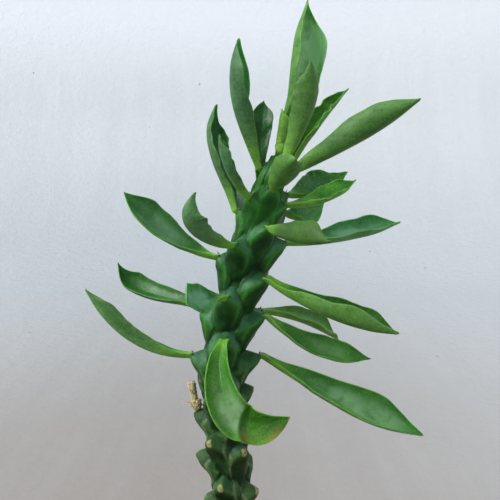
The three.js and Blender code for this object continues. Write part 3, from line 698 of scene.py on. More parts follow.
def plaster_material():
    s = Shader("backdrop")
    height = s.coordinate("Z")
    far = s.add("ShaderNodeVectorMath", {0: s.place()}, "Value", operation="LENGTH")
    brush = s.times(
        s.step(s.noise(28, 6, 0.65, s.stretched(1.0, 0.0, 0.06)), 0.3, 0.7),
        s.step(height, 0.05, 0.4, 0.05, 0.34), s.step(s.noise(5, 3, 0.6), 0.4, 0.6, 0.3, 1.0),
    )
    colour = s.layers(
        # Painted shade: the floor darkens towards the middle
        s.mix(s.step(far, 0.1, 1.1), (0.242, 0.216, 0.198), (0.480, 0.505, 0.520)),
        # Painted light: lighter up the curve and higher up the wall
        (s.step(height, 0.0, 0.3), (0.63, 0.655, 0.665)),
        (s.step(height, 0.3, 0.53), (0.83, 0.835, 0.875)),
        # Painted shade on the front half, standing in for a dark room
        (s.step(s.coordinate("Y"), -0.9, 0.0, 0.6, 0.0), (0.20, 0.21, 0.22)),
        # Painted light on the right side
        (s.step(s.coordinate("X"), -0.1, 0.4, 0.0, 0.3), (0.80, 0.81, 0.82)),
        (brush, (0.80, 0.82, 0.84)),
        # A few small pocks
        (s.step(s.cells(12.6), 0.022, 0.04, 0.6, 0.0), (0.20, 0.21, 0.25)),
    )
    grit = s.times(s.noise(90, 5, 0.65), s.step(far, 0.2, 1.2, 0.2, 0.95))
    return s.finish(Base_Color=colour, Roughness=0.9, Normal=s.bumps((grit, 0.6, 0.006)))


# Stem

def reach_of(row):
    return row.get("reach", straight_along(TIP_RADIUS, row["height"]))


def has_scar(row):
    return "via" not in row and not row.get("stalk")


def tubercle_tip(row):
    return stem_axis(row["height"])[0] + outward(row["azimuth"]) * reach_of(row)


def low_tubercles():
    rows = []
    height = LOWEST_TUBERCLE
    while height < BARE_TUBERCLES[0]["height"] - 1:
        rows.append(dict(height=height, azimuth=LOW_AZIMUTH + len(rows) * DIVERGENCE))
        height += LOW_RISE
    return rows


def tubercle_section(row, height):
    """A tubercle cut at one height: the angles from its middle, the radius, side place and rise at each,
    and its width and length. None if it isn't there."""
    foot = max(row["height"] - TUBERCLE_LENGTH, TUBERCLE_FOOT)
    up = (height - foot) / (row["height"] - foot)
    if up < 0 or up > TUBERCLE_PROFILE[-1][0]:
        return None
    reach = reach_of(row)
    core = straight_along(CORE_RADIUS, height)
    hook = HOOK_LOW + (HOOK_HIGH - HOOK_LOW) * smoothstep(row["height"], HOOK_FROM, HOOK_TO)
    s = np.linspace(-TUBERCLE_SPREAD, TUBERCLE_SPREAD, TUBERCLE_POINTS)
    # The hood's edge is an arch: it lies lower towards the sides
    raised = up + TUBERCLE_ARCH * np.abs(s) ** 2.4 * smoothstep(up, 0.35, 0.85)
    out = smooth_along(TUBERCLE_PROFILE, raised, 1)
    share = np.where((raised < 1) & (out > 0), np.abs(out) ** hook, out)
    nose = core + share * (reach - core)
    width = TUBERCLE_HALF_WIDTH * math.sqrt(reach / MATURE_REACH) * smooth_along(TUBERCLE_PROFILE, up, 2)
    flank = core * 0.9 + 0.3 * (nose - core)
    away = flank + (nose - flank) * (1 - np.abs(s) ** 2.5)
    if has_scar(row):
        away = np.minimum(away, reach - SCAR_CUT)
    angle = np.degrees(np.arctan2(s * width, away))
    radius = np.hypot(s * width, away)
    keep = away > 0.5
    return angle[keep], radius[keep], s[keep], raised[keep], width, row["height"] - foot


def stem_ring(tubercles, azimuths, height):
    """The stem's radius at one height, and the marks of its skin there."""
    best = np.full(STEM_SECTORS, straight_along(CORE_RADIUS, height))
    second = best - 1.2
    up_here = np.full(STEM_SECTORS, -1.0)
    side_here = np.zeros(STEM_SECTORS)
    scar = np.zeros(STEM_SECTORS)
    for row in tubercles:
        section = tubercle_section(row, height)
        if section is None:
            continue
        angle, away, s, raised, width, length = section
        off = (azimuths - row["azimuth"] + 180) % 360 - 180
        r = np.interp(off, angle, away, left=-9, right=-9)
        side = np.interp(off, angle, s)
        up = np.interp(off, angle, raised)
        # Neighbours meet in a rounded crease
        gap = np.maximum(CREASE_FILLET - np.abs(r - best), 0) / CREASE_FILLET
        wins = r > best
        second = np.where(wins, best, np.maximum(second, r))
        best = np.maximum(best, r) + gap * gap * CREASE_FILLET / 4
        up_here = np.where(wins, up, up_here)
        side_here = np.where(wins, side, side_here)
        pad = np.hypot(side * width / SCAR_HALF_WIDTH, (up - SCAR_PLACE) * length / SCAR_HALF_HEIGHT)
        scar = np.where(wins, smoothstep(-pad, -1.35, -0.5) if has_scar(row) else 0.0, scar)
    beside = np.abs(side_here)
    # The rim: a painted highlight along each hood's arched top edge and down its flanks
    crest = 0.5 * hump(up_here, 0.93, 0.1) + 0.8 * hump(up_here, 0.985, 0.03)
    flank = (0.4 * hump(beside, 0.95, 0.16) + 0.6 * hump(beside, 0.96, 0.05)) * smoothstep(up_here, 0.2, 0.7)
    return best, dict(
        # cap: each hood's top, where its bloom and painted highlight lie
        cap=smoothstep(up_here, 0.96, 1.05),
        rim=np.minimum(np.maximum(crest, flank), 1) * (up_here > 0),
        # crease: where painted shade lies between neighbouring tubercles
        crease=smoothstep(second - best, -1.0, -0.1),
        scar=scar,
        young=np.full(STEM_SECTORS, smoothstep(height, YOUNG_FROM, YOUNG_TO)),
        # hollow: where painted shade lies in each hood's face, below its top
        hollow=hump(up_here, 0.74, 0.2) * np.clip(1 - side_here ** 2, 0, 1),
        line=hump(beside, 0.9, 0.05) * smoothstep(up_here, 0.1, 0.4),
    )


def stem_piece():
    tubercles = low_tubercles() + BARE_TUBERCLES + [STALK_SHOULDER] + LEAFY_TUBERCLES
    azimuths = np.arange(STEM_SECTORS) * 360 / STEM_SECTORS
    out = outward(azimuths)
    heights = np.append(np.arange(SOIL_LEVEL - HOLE_DEPTH, STEM_END, STEM_STEP), STEM_END)
    radii, skins = zip(*(stem_ring(tubercles, azimuths, height) for height in heights))
    marks = {key: np.array([skin[key] for skin in skins]) for key in skins[0]}
    points = stem_axis(heights)[:, None, :] + out * np.array(radii)[..., None]
    rough = turbulence(points.reshape(-1, 3), 0.3, 3, 3).reshape(points.shape[:2])
    points += out * (rough * STEM_ROUGHNESS + marks["scar"] * SCAR_RISE)[..., None]
    root = stem_axis(STEM_ROOT)
    flat = np.concatenate([root + out * STEM_ROOT_RADIUS, *points, root, stem_axis(STEM_END) + (0, 0, 0.1)])
    for key, values in marks.items():
        marks[key] = np.concatenate([np.zeros(STEM_SECTORS), values.ravel(), [0, key == "young"]])
    faces = skin_faces(len(points) + 1, STEM_SECTORS)
    piece = make_piece("fine_stem", "stem", stem_material(), flat, faces, marks)
    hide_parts("stem")


# Leaves

def curve_point(points, t):
    """Smooth curve through evenly spaced points, at t from 0 to 1."""
    last = len(points) - 1
    result = np.zeros(3)
    for i, point in enumerate(points):
        weight = 1.0
        for j in range(last + 1):
            if j != i:
                weight *= (t * last - j) / (i - j)
        result += weight * point
    return result


def leaf_half_width(t, width, widest, blunt):
    """Half the blade's width at t: it swells from its foot, and tapers or rounds off towards its tip."""
    base = LEAF_BASE_HALF_WIDTH
    if t < widest:
        return base + (width / 2 - base) * math.sin(math.pi / 2 * max(t, 0) / widest) ** 1.5
    x = (t - widest) / (1 - widest)
    if blunt:
        taper = 1 - x ** blunt
    else:
        taper = LEAF_BLUNTNESS * (1 - x * x) + (1 - LEAF_BLUNTNESS) * math.cos(math.pi / 2 * x) ** 2
    end = min(LEAF_TIP_HALF_WIDTH, width * 0.03)
    return end + (width / 2 - end) * taper


def ripples(rows, t, s, phase):
    """The sum of the fine waves in rows, at t along the blade and s across it."""
    return sum(size * np.sin(t * rate + phase * share + s * slant) for size, rate, share, slant in rows)


def past_crease(leaf, t, s):
    """How far a place on the blade lies past its crease, as a share of its length."""
    return t - leaf.get("crease", NO_CREASE) + CREASE_SLANT * s


def leaf_ring(here, turned, face, t, leaf, phase):
    """One closed loop round the blade: its upper face, a margin, its lower face, the other margin."""
    slim = 1 - leaf.get("slim", LEAF_SLIM) * hump(t, 0, 0.06)
    half = slim * leaf_half_width(t, leaf["width"], leaf.get("widest", LEAF_WIDEST), leaf.get("blunt"))
    thinner = slim - 0.55 * smoothstep(t, 0.8, 1)
    middle = LEAF_THICKNESS * (1.25 - 0.65 * t) * thinner
    rim = LEAF_MARGIN * thinner
    opening = min(1, t * 4)
    s = np.sin(np.linspace(-1, 1, LEAF_COLUMNS + 1) * math.pi / 2)
    size = np.abs(s)
    # Part of the fold is spread over the blade, so its midrib isn't sharp
    fold, soft = leaf.get("fold", LEAF_FOLD), leaf.get("soft", LEAF_SOFT)
    start = math.radians(fold * (1 - soft)) * opening
    bend = math.radians(leaf.get("curl", LEAF_CURL) + 2 * fold * soft) * opening + 0.05
    angle = start + bend * size
    x = np.sign(s) * half * (np.sin(angle) - math.sin(start)) / bend
    wave = LEAF_WAVE * leaf.get("wave", 1) * s * s * min(1, t * 1.5)
    wave *= np.sin(t * LEAF_WAVE_RATE + phase + s * LEAF_WAVE_OFFSET)
    crisp = LEAF_CRISP * leaf.get("crisp", 1) * size ** 4 * min(1, t * 2) * min(1, half / 3)
    wave += crisp * ripples(CRISP_LIFT, t, s, phase)
    x += np.sign(s) * crisp * ripples(CRISP_REACH, t, s, phase)
    # A crease is a raised fold with a hollow behind it
    past = past_crease(leaf, t, s)
    buckle = hump(past, 0, CREASE_HALF_WIDTH)
    x *= 1 - 0.14 * buckle * (s < 0)
    wave += 0.9 * buckle * (0.4 - s * 0.6) - hump(past, 0.045, 0.03)
    y = half * (math.cos(start) - np.cos(angle)) / bend + wave
    tilt = angle * np.sign(s)
    thick = rim + (middle - rim) * (1 - size ** 1.5)
    fade = min(1, half / 2.5)
    groove = MIDRIB_GROOVE * fade * (1 - 0.6 * t) * hump(s * half, 0, 0.55)
    keel = MIDRIB_KEEL * leaf.get("keel", 1) * fade * (1 - t) * hump(s * half, 0, 0.7)
    x_low = x + np.sin(tilt) * thick
    y_low = y + middle / 2 - np.cos(tilt) * thick - keel
    y_up = y + middle / 2 - groove
    loop_x = np.concatenate([x, [0], x_low[::-1], [0]])
    loop_y = np.concatenate([y_up, [0], y_low[::-1], [0]])
    n = LEAF_COLUMNS + 1
    for spot, end, way in ((n, -1, 1), (2 * n + 1, 0, -1)):
        swell = rim * 0.32 * way
        loop_x[spot] = (x[end] + x_low[end]) / 2 + swell * math.cos(tilt[end])
        loop_y[spot] = (y_up[end] + y_low[end]) / 2 + swell * math.sin(tilt[end])
    points = here + np.outer(loop_x, turned) + np.outer(loop_y, face)
    across = np.concatenate([s, [1], s[::-1], [-1]])
    under = np.concatenate([np.zeros(n), [0.5], np.ones(n), [0.5]])
    return points, across, under


def leaf_mesh(base, anchor, azimuth, leaf, phase):
    """Points, faces and marks of one blade, its foot bent round into what carries it."""
    points = [np.array(p, float) for p in (base, *leaf["via"], leaf["tip"])]
    length = np.linalg.norm(points[-1] - points[0])
    side = outward(azimuth + 90)
    loops, ts, aheads = [], [], []
    for k in range(LEAF_RINGS * LEAF_SUBSTEPS + 1):
        t = k / (LEAF_RINGS * LEAF_SUBSTEPS)
        ahead = unit(curve_point(points, t + 0.005) - curve_point(points, t - 0.005))
        side = unit(side - ahead * side.dot(ahead))
        if k % LEAF_SUBSTEPS == 0:
            roll = math.radians(leaf.get("roll", 0) + leaf.get("twist", 0) * t) * min(1, t * 3)
            turned = side * math.cos(roll) + np.cross(ahead, side) * math.sin(roll)
            face = np.cross(ahead, turned)
            loop, across, under = leaf_ring(curve_point(points, t), turned, face, t, leaf, phase)
            loops.append(loop)
            ts.append(t)
            aheads.append(ahead)
    first, start, finish = loops[0], aheads[0], aheads[-1]
    for k in range(1, FOOT_LOOPS):
        back = k / (FOOT_LOOPS - 1)
        middle = base + (anchor - base) * back - start * 0.5 * back * (1 - back)
        turn = Vector(start).rotation_difference(Vector(start + (outward(azimuth) - start) * back))
        swing = np.array(turn.to_matrix())
        loops.insert(0, middle + (first - base) @ swing.T * (1 + 0.12 * math.sin(math.pi * back)))
        ts.insert(0, 0.0)
    end = loops[-1]
    centre = end.mean(0)
    point = finish * LEAF_POINT * min(1, length / 30)
    for share, rise in ((0.72, 0.35), (0.3, 0.8)):
        loops.append(centre + (end - centre) * share + point * rise)
        ts.append(1.0)
    flat = np.concatenate([*loops, [loops[0].mean(0)], [centre + point]])
    faces = [face[::-1] for face in skin_faces(len(loops), len(end))]
    return flat, faces, dict(
        along=np.concatenate([np.repeat(ts, len(end)), [0, 1]]),
        across=np.concatenate([np.tile(across, len(loops)), [0, 0]]),
        under=np.concatenate([np.tile(under, len(loops)), [0.5, 0.5]]),
    )


def leaf_looks(row, usual_tone, along, across, under):
    """The marks that give a leaf its own colours, and its painted light, shade and sheen."""
    past = past_crease(row, along, across)
    lobe = smoothstep(past, 0.0, 0.02)
    # Tone is partly the leaf's own lightness and partly painted light and shade; inner adds painted light to
    # the upper face, and painted shade where it is negative
    tone = row.get("tone", usual_tone) + row.get("inner", 0) * (1 - under)
    tone = FOOT_TONE + (tone - FOOT_TONE) * smoothstep(along, 0.03, 0.3)
    # Strip paints light along one margin, and paints shade there where it is negative
    tone += row.get("strip", 0) * smoothstep(across, 0.15, 0.6) * smoothstep(along, 0.05, 0.3)
    # Past a crease the blade gets painted shade just beyond the fold, and painted light further on
    tone += lobe * (0.7 * smoothstep(past, 0.03, 0.12) - 0.25)
    # The bloom and its painted sheen end where a blade is buckled
    bloom = row.get("bloom", LEAF_WAXY_SHEEN) * (1 - smoothstep(past, -0.01, 0.01))
    bloom *= 1 + row.get("even", 0) * smoothstep(np.abs(across), 0.3, 0.9)
    if "crease" in row:
        bloom *= smoothstep(along, 0.3, 0.62)
    warm = np.full(len(along), row.get("warm", LEAF_WARM))
    return dict(tone=tone, sear=lobe * smoothstep(-across, 0.1, 0.85), warm=warm, bloom=bloom)


def leaf_pieces():
    material = leaf_material(
        "leaf",
        upper_pair=((0.014, 0.110, 0.018), (0.034, 0.172, 0.036)),
        sunny_pair=((0.030, 0.140, 0.006), (0.058, 0.200, 0.012)),
        cool_pair=((0.050, 0.138, 0.050), (0.080, 0.190, 0.075)),
        warm_pair=((0.074, 0.195, 0.016), (0.108, 0.250, 0.026)),
        foot=(0.150, 0.350, 0.028),
    )
    for i, row in enumerate(LEAFY_TUBERCLES):
        tip, out = tubercle_tip(row), outward(row["azimuth"])
        steep = abs(unit(np.array(row["via"][0], float) - tip)[2])
        base = tip + out * (LEAF_SEAT + LEAF_STEEP_SEAT * steep)
        blade = leaf_mesh(base, tip - out * FOOT_DEPTH, row["azimuth"], row, i * LEAF_PHASE_STEP)
        points, faces, marks = blade
        marks |= leaf_looks(row, 0.5 * math.sin(i * 2.4 + 0.7), **marks)
        piece = make_piece(f"fine_leaf_{i + 1:02d}", "leaf", material, points, faces, marks)
        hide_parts(f"leaf_{i + 1:02d}")


def growing_tip_piece():
    """The bud at the stem's end and its youngest leaves."""
    foot = stem_axis(STEM_END)[0] + (BUD_SHIFT, 0, CLEARANCE)
    polar, turn = globe(BUD_ROWS, BUD_COLUMNS)
    radius = BUD_RADIUS * np.sin(polar) * (1 + 0.07 * np.cos(3 * turn + 2.2 * polar) * np.sin(polar))
    lift = BUD_RADIUS * BUD_STRETCH * (1 - np.cos(polar)) - 0.4 * (polar == 0)
    bud = foot + ring(radius, lift, turn).reshape(-1, 3)
    marks = {key: np.full(len(bud), value) for key, value in dict(along=0.12, across=0.4, under=1).items()}
    parts = [(bud, grid_faces(BUD_ROWS + 1, BUD_COLUMNS), marks)]
    for i, young in enumerate(YOUNG_LEAVES):
        base = foot + (0, 0, 3) + outward(young["azimuth"]) * 0.9
        lean = np.array([*young["lean"], 0])
        tip = base + lean + (0, 0, young["rise"])
        middle = (base + tip) / 2 + lean * 0.2
        leaf = dict(via=[middle], tip=tip, width=young["width"], fold=YOUNG_LEAF_FOLD, crisp=0.3)
        parts.append(leaf_mesh(base, base - (0, 0, FOOT_DEPTH), young["azimuth"], leaf, i))
    points, faces, marks = joined(parts)
    for key, value in dict(tone=1.9, warm=0.6, bloom=0, sear=0).items():
        marks[key] = np.full(len(points), value)
    material = leaf_material(
        "young_growth",
        upper_pair=((0.050, 0.160, 0.022), (0.080, 0.210, 0.034)),
        sunny_pair=((0.070, 0.180, 0.020), (0.100, 0.230, 0.030)),
        cool_pair=((0.095, 0.220, 0.040), (0.130, 0.270, 0.055)),
        warm_pair=((0.120, 0.235, 0.030), (0.160, 0.290, 0.045)),
        foot=(0.180, 0.330, 0.045),
    )
    piece = make_piece("fine_growing_tip", "young_growth", material, points, faces, marks)
    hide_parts("growing_tip")


def prickle_piece():
    """Tiny prickles beside and above the foot of each leaf."""
    rng = np.random.default_rng(PRICKLE_SEED)
    turn = turns(PRICKLE_SIDES)
    faces = [[c, (c + 1) % PRICKLE_SIDES, PRICKLE_SIDES] for c in range(PRICKLE_SIDES)]
    faces.append(list(range(PRICKLE_SIDES))[::-1])
    parts = []
    for row in LEAFY_TUBERCLES:
        if row["height"] > PRICKLE_TOP:
            continue
        out, side = outward(row["azimuth"]), outward(row["azimuth"] + 90)
        for way in (-1, 1, 0):
            foot = tubercle_tip(row) - out * PRICKLE_INSET + side * way * PRICKLE_SPACING
            foot += (0, 0, 0.9 if way else 1.5)
            aim = unit(out * 0.45 + side * way * 0.5 + (0, 0, 0.9) + rng.normal(0, 0.2, 3))
            across = unit(np.cross(aim, out + 0.01))
            circle = np.outer(np.cos(turn), across) + np.outer(np.sin(turn), np.cross(aim, across))
            point = foot + aim * rng.uniform(0.7, 1.3)
            parts.append(([*(foot - aim * PRICKLE_BURIED + PRICKLE_RADIUS * circle), point], faces, {}))
    make_piece("prickles", "stem", prickle_material(), *joined(parts))


# Dried flower stalk

def tube(centres, radii, sides, ragged, seed):
    """A closed tube through centres, its far end torn by up to ragged."""
    turn, last = turns(sides), len(centres) - 1
    rings = []
    for k, (centre, radius) in enumerate(zip(centres, radii)):
        ahead = unit(centres[min(k + 1, last)] - centres[max(k - 1, 0)])
        side = unit(np.cross(ahead, (0.3, 1, 0.2)))
        grain = turbulence(np.stack([3 * np.cos(turn), 3 * np.sin(turn), k * 0.22 + seed + 0 * turn], 1), 1)
        ridge = 1 + 0.10 * np.sin(turn * 5 + seed) + 0.05 * np.sin(turn * 11 + k * 0.6) + 0.22 * grain
        torn = ragged * (k / last) ** 4 * (np.sin(turn * 3 + seed) + 0.5 * np.sin(turn * 7 + seed * 2))
        circle = np.outer(np.cos(turn), side) + np.outer(np.sin(turn), np.cross(ahead, side))
        rings.append(centre + circle * (radius * ridge)[:, None] + np.outer(torn, ahead))
    end = centres[-1] - unit(centres[-1] - centres[-2]) * radii[-1] * (0.8 if ragged else 0)
    frayed = np.append(np.repeat(np.linspace(0, 1, last + 1) ** 3, sides), [0, 1])
    return [*np.concatenate(rings), centres[0], end], skin_faces(last + 1, sides), {"frayed": frayed}


def bract(foot, aim, side, length, width, seed):
    """A small curled dry scale."""
    rows, columns = BRACT_ROWS, BRACT_COLUMNS
    t, s = np.meshgrid(np.linspace(0, 1, rows), np.linspace(-1, 1, columns), indexing="ij")
    half = width / 2 * np.sin(math.pi * (0.15 + 0.82 * t)) ** 0.8
    lift = 0.35 * t * t * length * 0.5 + 0.3 * s * s * half + 0.05 * np.sin(9 * t + seed + 4 * s)
    spots = foot + np.multiply.outer(t * length, aim) + np.multiply.outer(s * half, side)
    points = [spots + np.multiply.outer(lift + 0.06 * face, np.cross(side, aim)) for face in (1, -1)]
    top = grid_faces(rows, columns, closed=False)
    size = rows * columns
    faces = top + [[size + v for v in face[::-1]] for face in top]
    rim = [*range(columns)] + [r * columns + columns - 1 for r in range(1, rows)]
    rim += [size - 1 - c for c in range(1, columns)] + [r * columns for r in range(rows - 2, 0, -1)]
    faces += [[b, a, size + a, size + b] for a, b in zip(rim, rim[1:] + rim[:1])]
    frayed = np.tile(np.repeat(np.linspace(0.2, 1, rows), columns), 2)
    return np.reshape(points, (-1, 3)), faces, {"frayed": frayed}


def stalk_piece():
    """A short torn stub and a side spike on a knot of dry scales."""
    row = next(row for row in BARE_TUBERCLES if row.get("stalk"))
    place = tubercle_tip(row) + outward(row["azimuth"]) * (KNOT_RADIUS * 0.9 + CLEARANCE)
    tilt = math.radians(STUB_TILT)
    lean = np.array([-math.sin(tilt), 0, math.cos(tilt)])
    k = np.arange(STUB_STEPS + 1)
    stub = place + (-0.4, 0, 0) + np.outer(STUB_LENGTH * (k / STUB_STEPS * 0.96 - 0.05), lean)
    girth = 1.15 + 0.25 * k / STUB_STEPS + 0.06 * np.sin(k * 1.9)
    polar, turn = globe(KNOT_ROWS, KNOT_COLUMNS)
    spots = ring(np.sin(polar), -np.cos(polar), turn).reshape(-1, 3)
    knot = place + (0, 0, -0.4) + spots * KNOT_AXES * (1 + 0.3 * turbulence(spots, 3.1))[:, None]
    k = np.arange(SPIKE_STEPS + 1) / SPIKE_STEPS
    spike = place + (-1.1, -0.4, 0.8) + np.stack([-SPIKE_LENGTH * k, 0 * k, 0.35 * k ** 2], 1)
    parts = [
        tube(stub, girth, sides=24, ragged=0.6, seed=2),
        (knot, grid_faces(*polar.shape), {"frayed": np.full(len(knot), 0.15)}),
        tube(spike, 0.42 - 0.3 * k, sides=10, ragged=0, seed=1),
    ]
    rng = np.random.default_rng(BRACT_SEED)
    for k in range(BRACT_COUNT):
        turn = k * 2.4
        aim = unit(np.array([math.cos(turn) - 0.25, math.sin(turn), 0.3 + 0.5 * math.sin(turn * 1.7)]))
        side = unit(np.cross(aim, (0.1, 0.2, 1)))
        foot = place + (0, 0, -1.6 + 0.32 * (k % 8)) + aim
        parts.append(bract(foot, aim, side, rng.uniform(1.4, 2.4), rng.uniform(1.0, 1.8), k))
    piece = make_piece("fine_dried_flower_stalk", "dry_stalk", stalk_material(), *joined(parts))
    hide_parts("dried_flower_stalk")


# Soil

def pot_inner_radius(height):
    slope = (UNDER_BAND_RADIUS - POT_BASE_RADIUS) / (POT_HEIGHT - POT_RIM_HEIGHT)
    return POT_BASE_RADIUS + slope * height - POT_WALL


def soil_height(x, y):
    mound = SOIL_MOUND * hump(np.hypot(x, y), 0, MOUND_RADIUS)
    uneven = np.sin(x * 0.41 + 1.3) * np.cos(y * 0.37) + 0.6 * np.sin(x * 0.9 - y * 0.8)
    return SOIL_LEVEL - SOIL_MOUND + mound + SOIL_RELIEF * uneven * 0.5


def soil_piece():
    turn = turns(SOIL_SECTORS)
    floor = POT_FLOOR + CLEARANCE
    rings = [ring(pot_inner_radius(POT_FLOOR) - 3 - CLEARANCE * 2, floor, turn)]
    for height in np.linspace(floor + 3, SOIL_LEVEL - 4, 13):
        rings.append(ring(pot_inner_radius(height) - CLEARANCE * 1.5, height, turn))
    outer = pot_inner_radius(SOIL_LEVEL - 3) - CLEARANCE * 0.5
    for radius in outer + (SOIL_INNER_RADIUS - outer) * np.linspace(0, 1, SOIL_RINGS) ** 0.9:
        spots = ring(radius, 0, turn)
        top = soil_height(spots[:, 0], spots[:, 1])
        for scale, octaves, seed, height, tops_only in CLODS:
            clods = turbulence(spots, scale, octaves, seed)
            top += height * (np.maximum(clods, 0) if tops_only else clods)
        spots[:, 2] = top
        rings.append(spots)
    points = np.concatenate([*rings, [(0, 0, floor), (0, 0, SOIL_LEVEL)]])
    faces = skin_faces(len(rings), SOIL_SECTORS)
    material = soil_material()
    piece = make_piece("fine_soil", "soil", material, points, faces, {"kind": np.zeros(len(points))})
    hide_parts("soil")
    grit_piece(outer, material)


def grit_piece(outer, material):
    """Loose grains on the soil: bark, gravel and a few white ones."""
    rng = np.random.default_rng(GRAIN_SEED)
    ball = bmesh.new()
    bmesh.ops.create_icosphere(ball, subdivisions=2, radius=1)
    shape = np.array([v.co[:] for v in ball.verts])
    faces = [[v.index for v in f.verts] for f in ball.faces]
    ball.free()
    parts = []
    for _ in range(GRAIN_COUNT):
        turn = rng.uniform(0, 2 * math.pi)
        place = ring(math.sqrt(rng.uniform(GRAINS_FROM ** 2, (outer - GRAIN_MARGIN) ** 2)), 0, turn)
        size = GRAIN_LEAST + GRAIN_SPREAD * rng.random() ** 3
        kind = rng.choice([GRAIN_BARK, GRAIN_GRAVEL, GRAIN_WHITE], p=GRAIN_SHARES)
        depth = rng.uniform(0.55, 0.9)
        # Bark lies flat
        squash = np.array([1, depth, rng.uniform(*((0.3, 0.55) if kind == GRAIN_BARK else (0.6, 0.9)))])
        dent = 1 + 0.28 * turbulence(shape, 1.3, 2, rng.uniform(0, 40))
        spin = Matrix.Rotation(rng.uniform(0, 6.3), 3, "Z") @ Matrix.Rotation(rng.normal(0, 0.35), 3, "X")
        place[2] = soil_height(*place[:2]) + size * squash[2] * 0.45 + GRAIN_LIFT
        grain = (shape * dent[:, None] * squash * size) @ np.array(spin).T
        parts.append((grain + place, faces, {"kind": np.full(len(shape), kind)}))
    make_piece("soil_grains", "soil", material, *joined(parts))


# Pot

def pot_profile():
    """Radius, height and whether inside, from the middle of the underside round to that of the floor."""
    base, under, rim, top = POT_BASE_RADIUS, UNDER_BAND_RADIUS, POT_RIM_RADIUS, POT_HEIGHT
    band = top - POT_RIM_HEIGHT
    inner = pot_inner_radius
    wall = [(base + (under - base) * k / 24, 1 + (band - 1.2) * k / 24, 0) for k in range(1, 24)]
    face = [(rim - 0.2 + 0.2 * k / 8, band + 2 + (POT_RIM_HEIGHT - 4) * k / 8, 0) for k in range(1, 8)]
    return [
        (0, 0, 0), (base - 1.2, 0, 0), (base - 0.4, 0.25, 0), (base, 1, 0),
        *wall,
        (under, band - 0.2, 0), (under + 0.5, band, 0), (rim - 1.4, band + 0.1, 0),
        (rim - 0.7, band + 0.45, 0), (rim - 0.3, band + 1.2, 0), (rim - 0.2, band + 2, 0),
        *face,
        (rim, top - 1.7, 0), (rim - 0.25, top - 0.9, 0), (rim - 0.8, top - 0.3, 0),
        (rim - 1.4, top - 0.06, 0), (rim - 2, top, 0.2),
        (inner(top) + 1.4, top - 0.12, 0.6), (inner(top) + 0.6, top - 0.5, 1),
        *((inner(height), height, 1) for height in np.linspace(top - 1.5, POT_FLOOR + 3, 22)),
        (inner(POT_FLOOR) - 1, POT_FLOOR + 0.8, 1), (inner(POT_FLOOR) - 3, POT_FLOOR, 1), (0, POT_FLOOR, 1),
    ]


def pot_piece():
    profile = pot_profile()
    turn = turns(POT_SIDES)
    rings, inside = [], []
    for radius, height, within in profile[1:-1]:
        # Slightly uneven, as thrown by hand
        hand = 0.06 * np.sin(height * 2.1 + turn) + 0.05 * np.sin(2 * turn + height * 0.05)
        rings.append(ring(radius + hand * (1 < height < POT_HEIGHT - 3), height, turn))
        inside += [within] * POT_SIDES
    points = np.concatenate([*rings, [(0, 0, profile[0][1]), (0, 0, profile[-1][1])]])
    faces = skin_faces(len(rings), POT_SIDES)
    piece = make_piece("fine_pot", "terracotta", pot_material(), points, faces, {"inside": [*inside, 0, 1]})
    for angle in turns(DRAIN_COUNT):
        cut_drain(piece, angle)
    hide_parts("pot")


def cut_drain(pot, angle):
    tool = bmesh.new()
    bmesh.ops.create_cone(
        tool, cap_ends=True, segments=40, radius1=DRAIN_RADIUS * MM, radius2=DRAIN_RADIUS * MM,
        depth=POT_FLOOR * 3 * MM,
    )
    spot = Vector((DRAIN_CIRCLE * math.sin(angle), DRAIN_CIRCLE * math.cos(angle), 0)) * MM
    bmesh.ops.translate(tool, verts=tool.verts, vec=spot)
    mesh = bpy.data.meshes.new("drain")
    tool.to_mesh(mesh)
    tool.free()
    cutter = add_object("drain", mesh)
    cut = pot.modifiers.new("drain", "BOOLEAN")
    cut.operation = "DIFFERENCE"
    cut.solver = "EXACT"
    cut.object = cutter
    evaluated = pot.evaluated_get(bpy.context.evaluated_depsgraph_get())
    done = bpy.data.meshes.new_from_object(evaluated)
    pot.modifiers.clear()
    pot.data = done
    bpy.data.objects.remove(cutter)


# Stage, light and camera

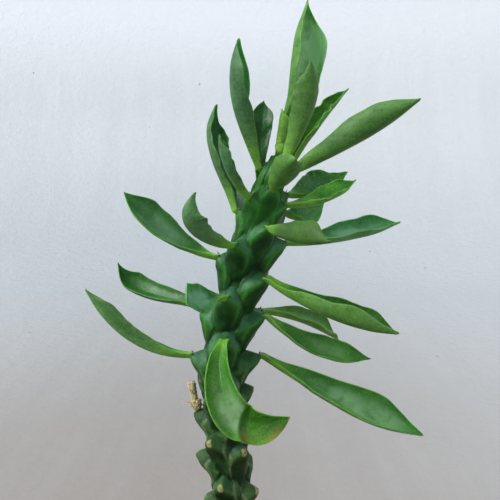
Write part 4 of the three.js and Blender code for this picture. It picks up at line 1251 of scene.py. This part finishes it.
def backdrop():
    """A round floor that curves up into a wall on every side."""
    turn = turns(STAGE_SIDES)
    reach = STAGE_FLOOR + STAGE_CORNER
    profile = [(STAGE_FLOOR * (k / 14) ** 0.8, 0.0) for k in range(1, 15)]
    profile += [
        (STAGE_FLOOR + STAGE_CORNER * math.sin(a), STAGE_CORNER * (1 - math.cos(a)))
        for a in np.linspace(0, math.pi / 2, 25)[1:]
    ]
    profile += [(reach, height) for height in np.linspace(STAGE_CORNER, STAGE_TOP, 7)[1:]]
    points = np.concatenate([*(ring(radius, height, turn) for radius, height in profile), [(0, 0, 0)]])
    faces = grid_faces(len(profile), STAGE_SIDES)
    faces += [[len(points) - 1, (i + 1) % STAGE_SIDES, i] for i in range(STAGE_SIDES)]
    wall = make_mesh("backdrop", plaster_material(), points, [face[::-1] for face in faces])


def soft_light(name, place, size, power, colour):
    data = bpy.data.lights.new(name, "AREA")
    data.shape = "DISK"
    data.size = size
    data.energy = power
    data.color = colour
    light = add_object(name, data)
    light.location = place
    light.rotation_euler = (Vector(LIGHT_AIM) - Vector(place)).to_track_quat("-Z", "Y").to_euler()


def lighting():
    world = bpy.data.worlds.new("sky")
    world.use_nodes = True
    sky = world.node_tree.nodes["Background"]
    sky.inputs["Color"].default_value = (*SKY_COLOUR, 1)
    sky.inputs["Strength"].default_value = SKY_STRENGTH
    bpy.context.scene.world = world
    for light in LIGHTS:
        soft_light(**light)
    bpy.context.scene.view_settings.view_transform = "Standard"
    bpy.context.scene.view_settings.look = "None"


def camera():
    pitch = math.radians(VIEW_PITCH)
    ahead = Vector((0, math.cos(pitch), -math.sin(pitch)))
    data = bpy.data.cameras.new("camera")
    data.sensor_width = SENSOR_WIDTH
    data.lens = SENSOR_WIDTH / 2 * VIEW_DISTANCE / VIEW_HALF_HEIGHT
    data.clip_start = CLIP_START * MM
    eye = add_object("camera", data)
    eye.location = (Vector(VIEW_TARGET) - ahead * VIEW_DISTANCE) * MM
    eye.rotation_euler = ahead.to_track_quat("-Z", "Y").to_euler()
    bpy.context.scene.camera = eye


camera()
backdrop()
lighting()
pot_piece()
soil_piece()
stem_piece()
leaf_pieces()
growing_tip_piece()
prickle_piece()
stalk_piece()
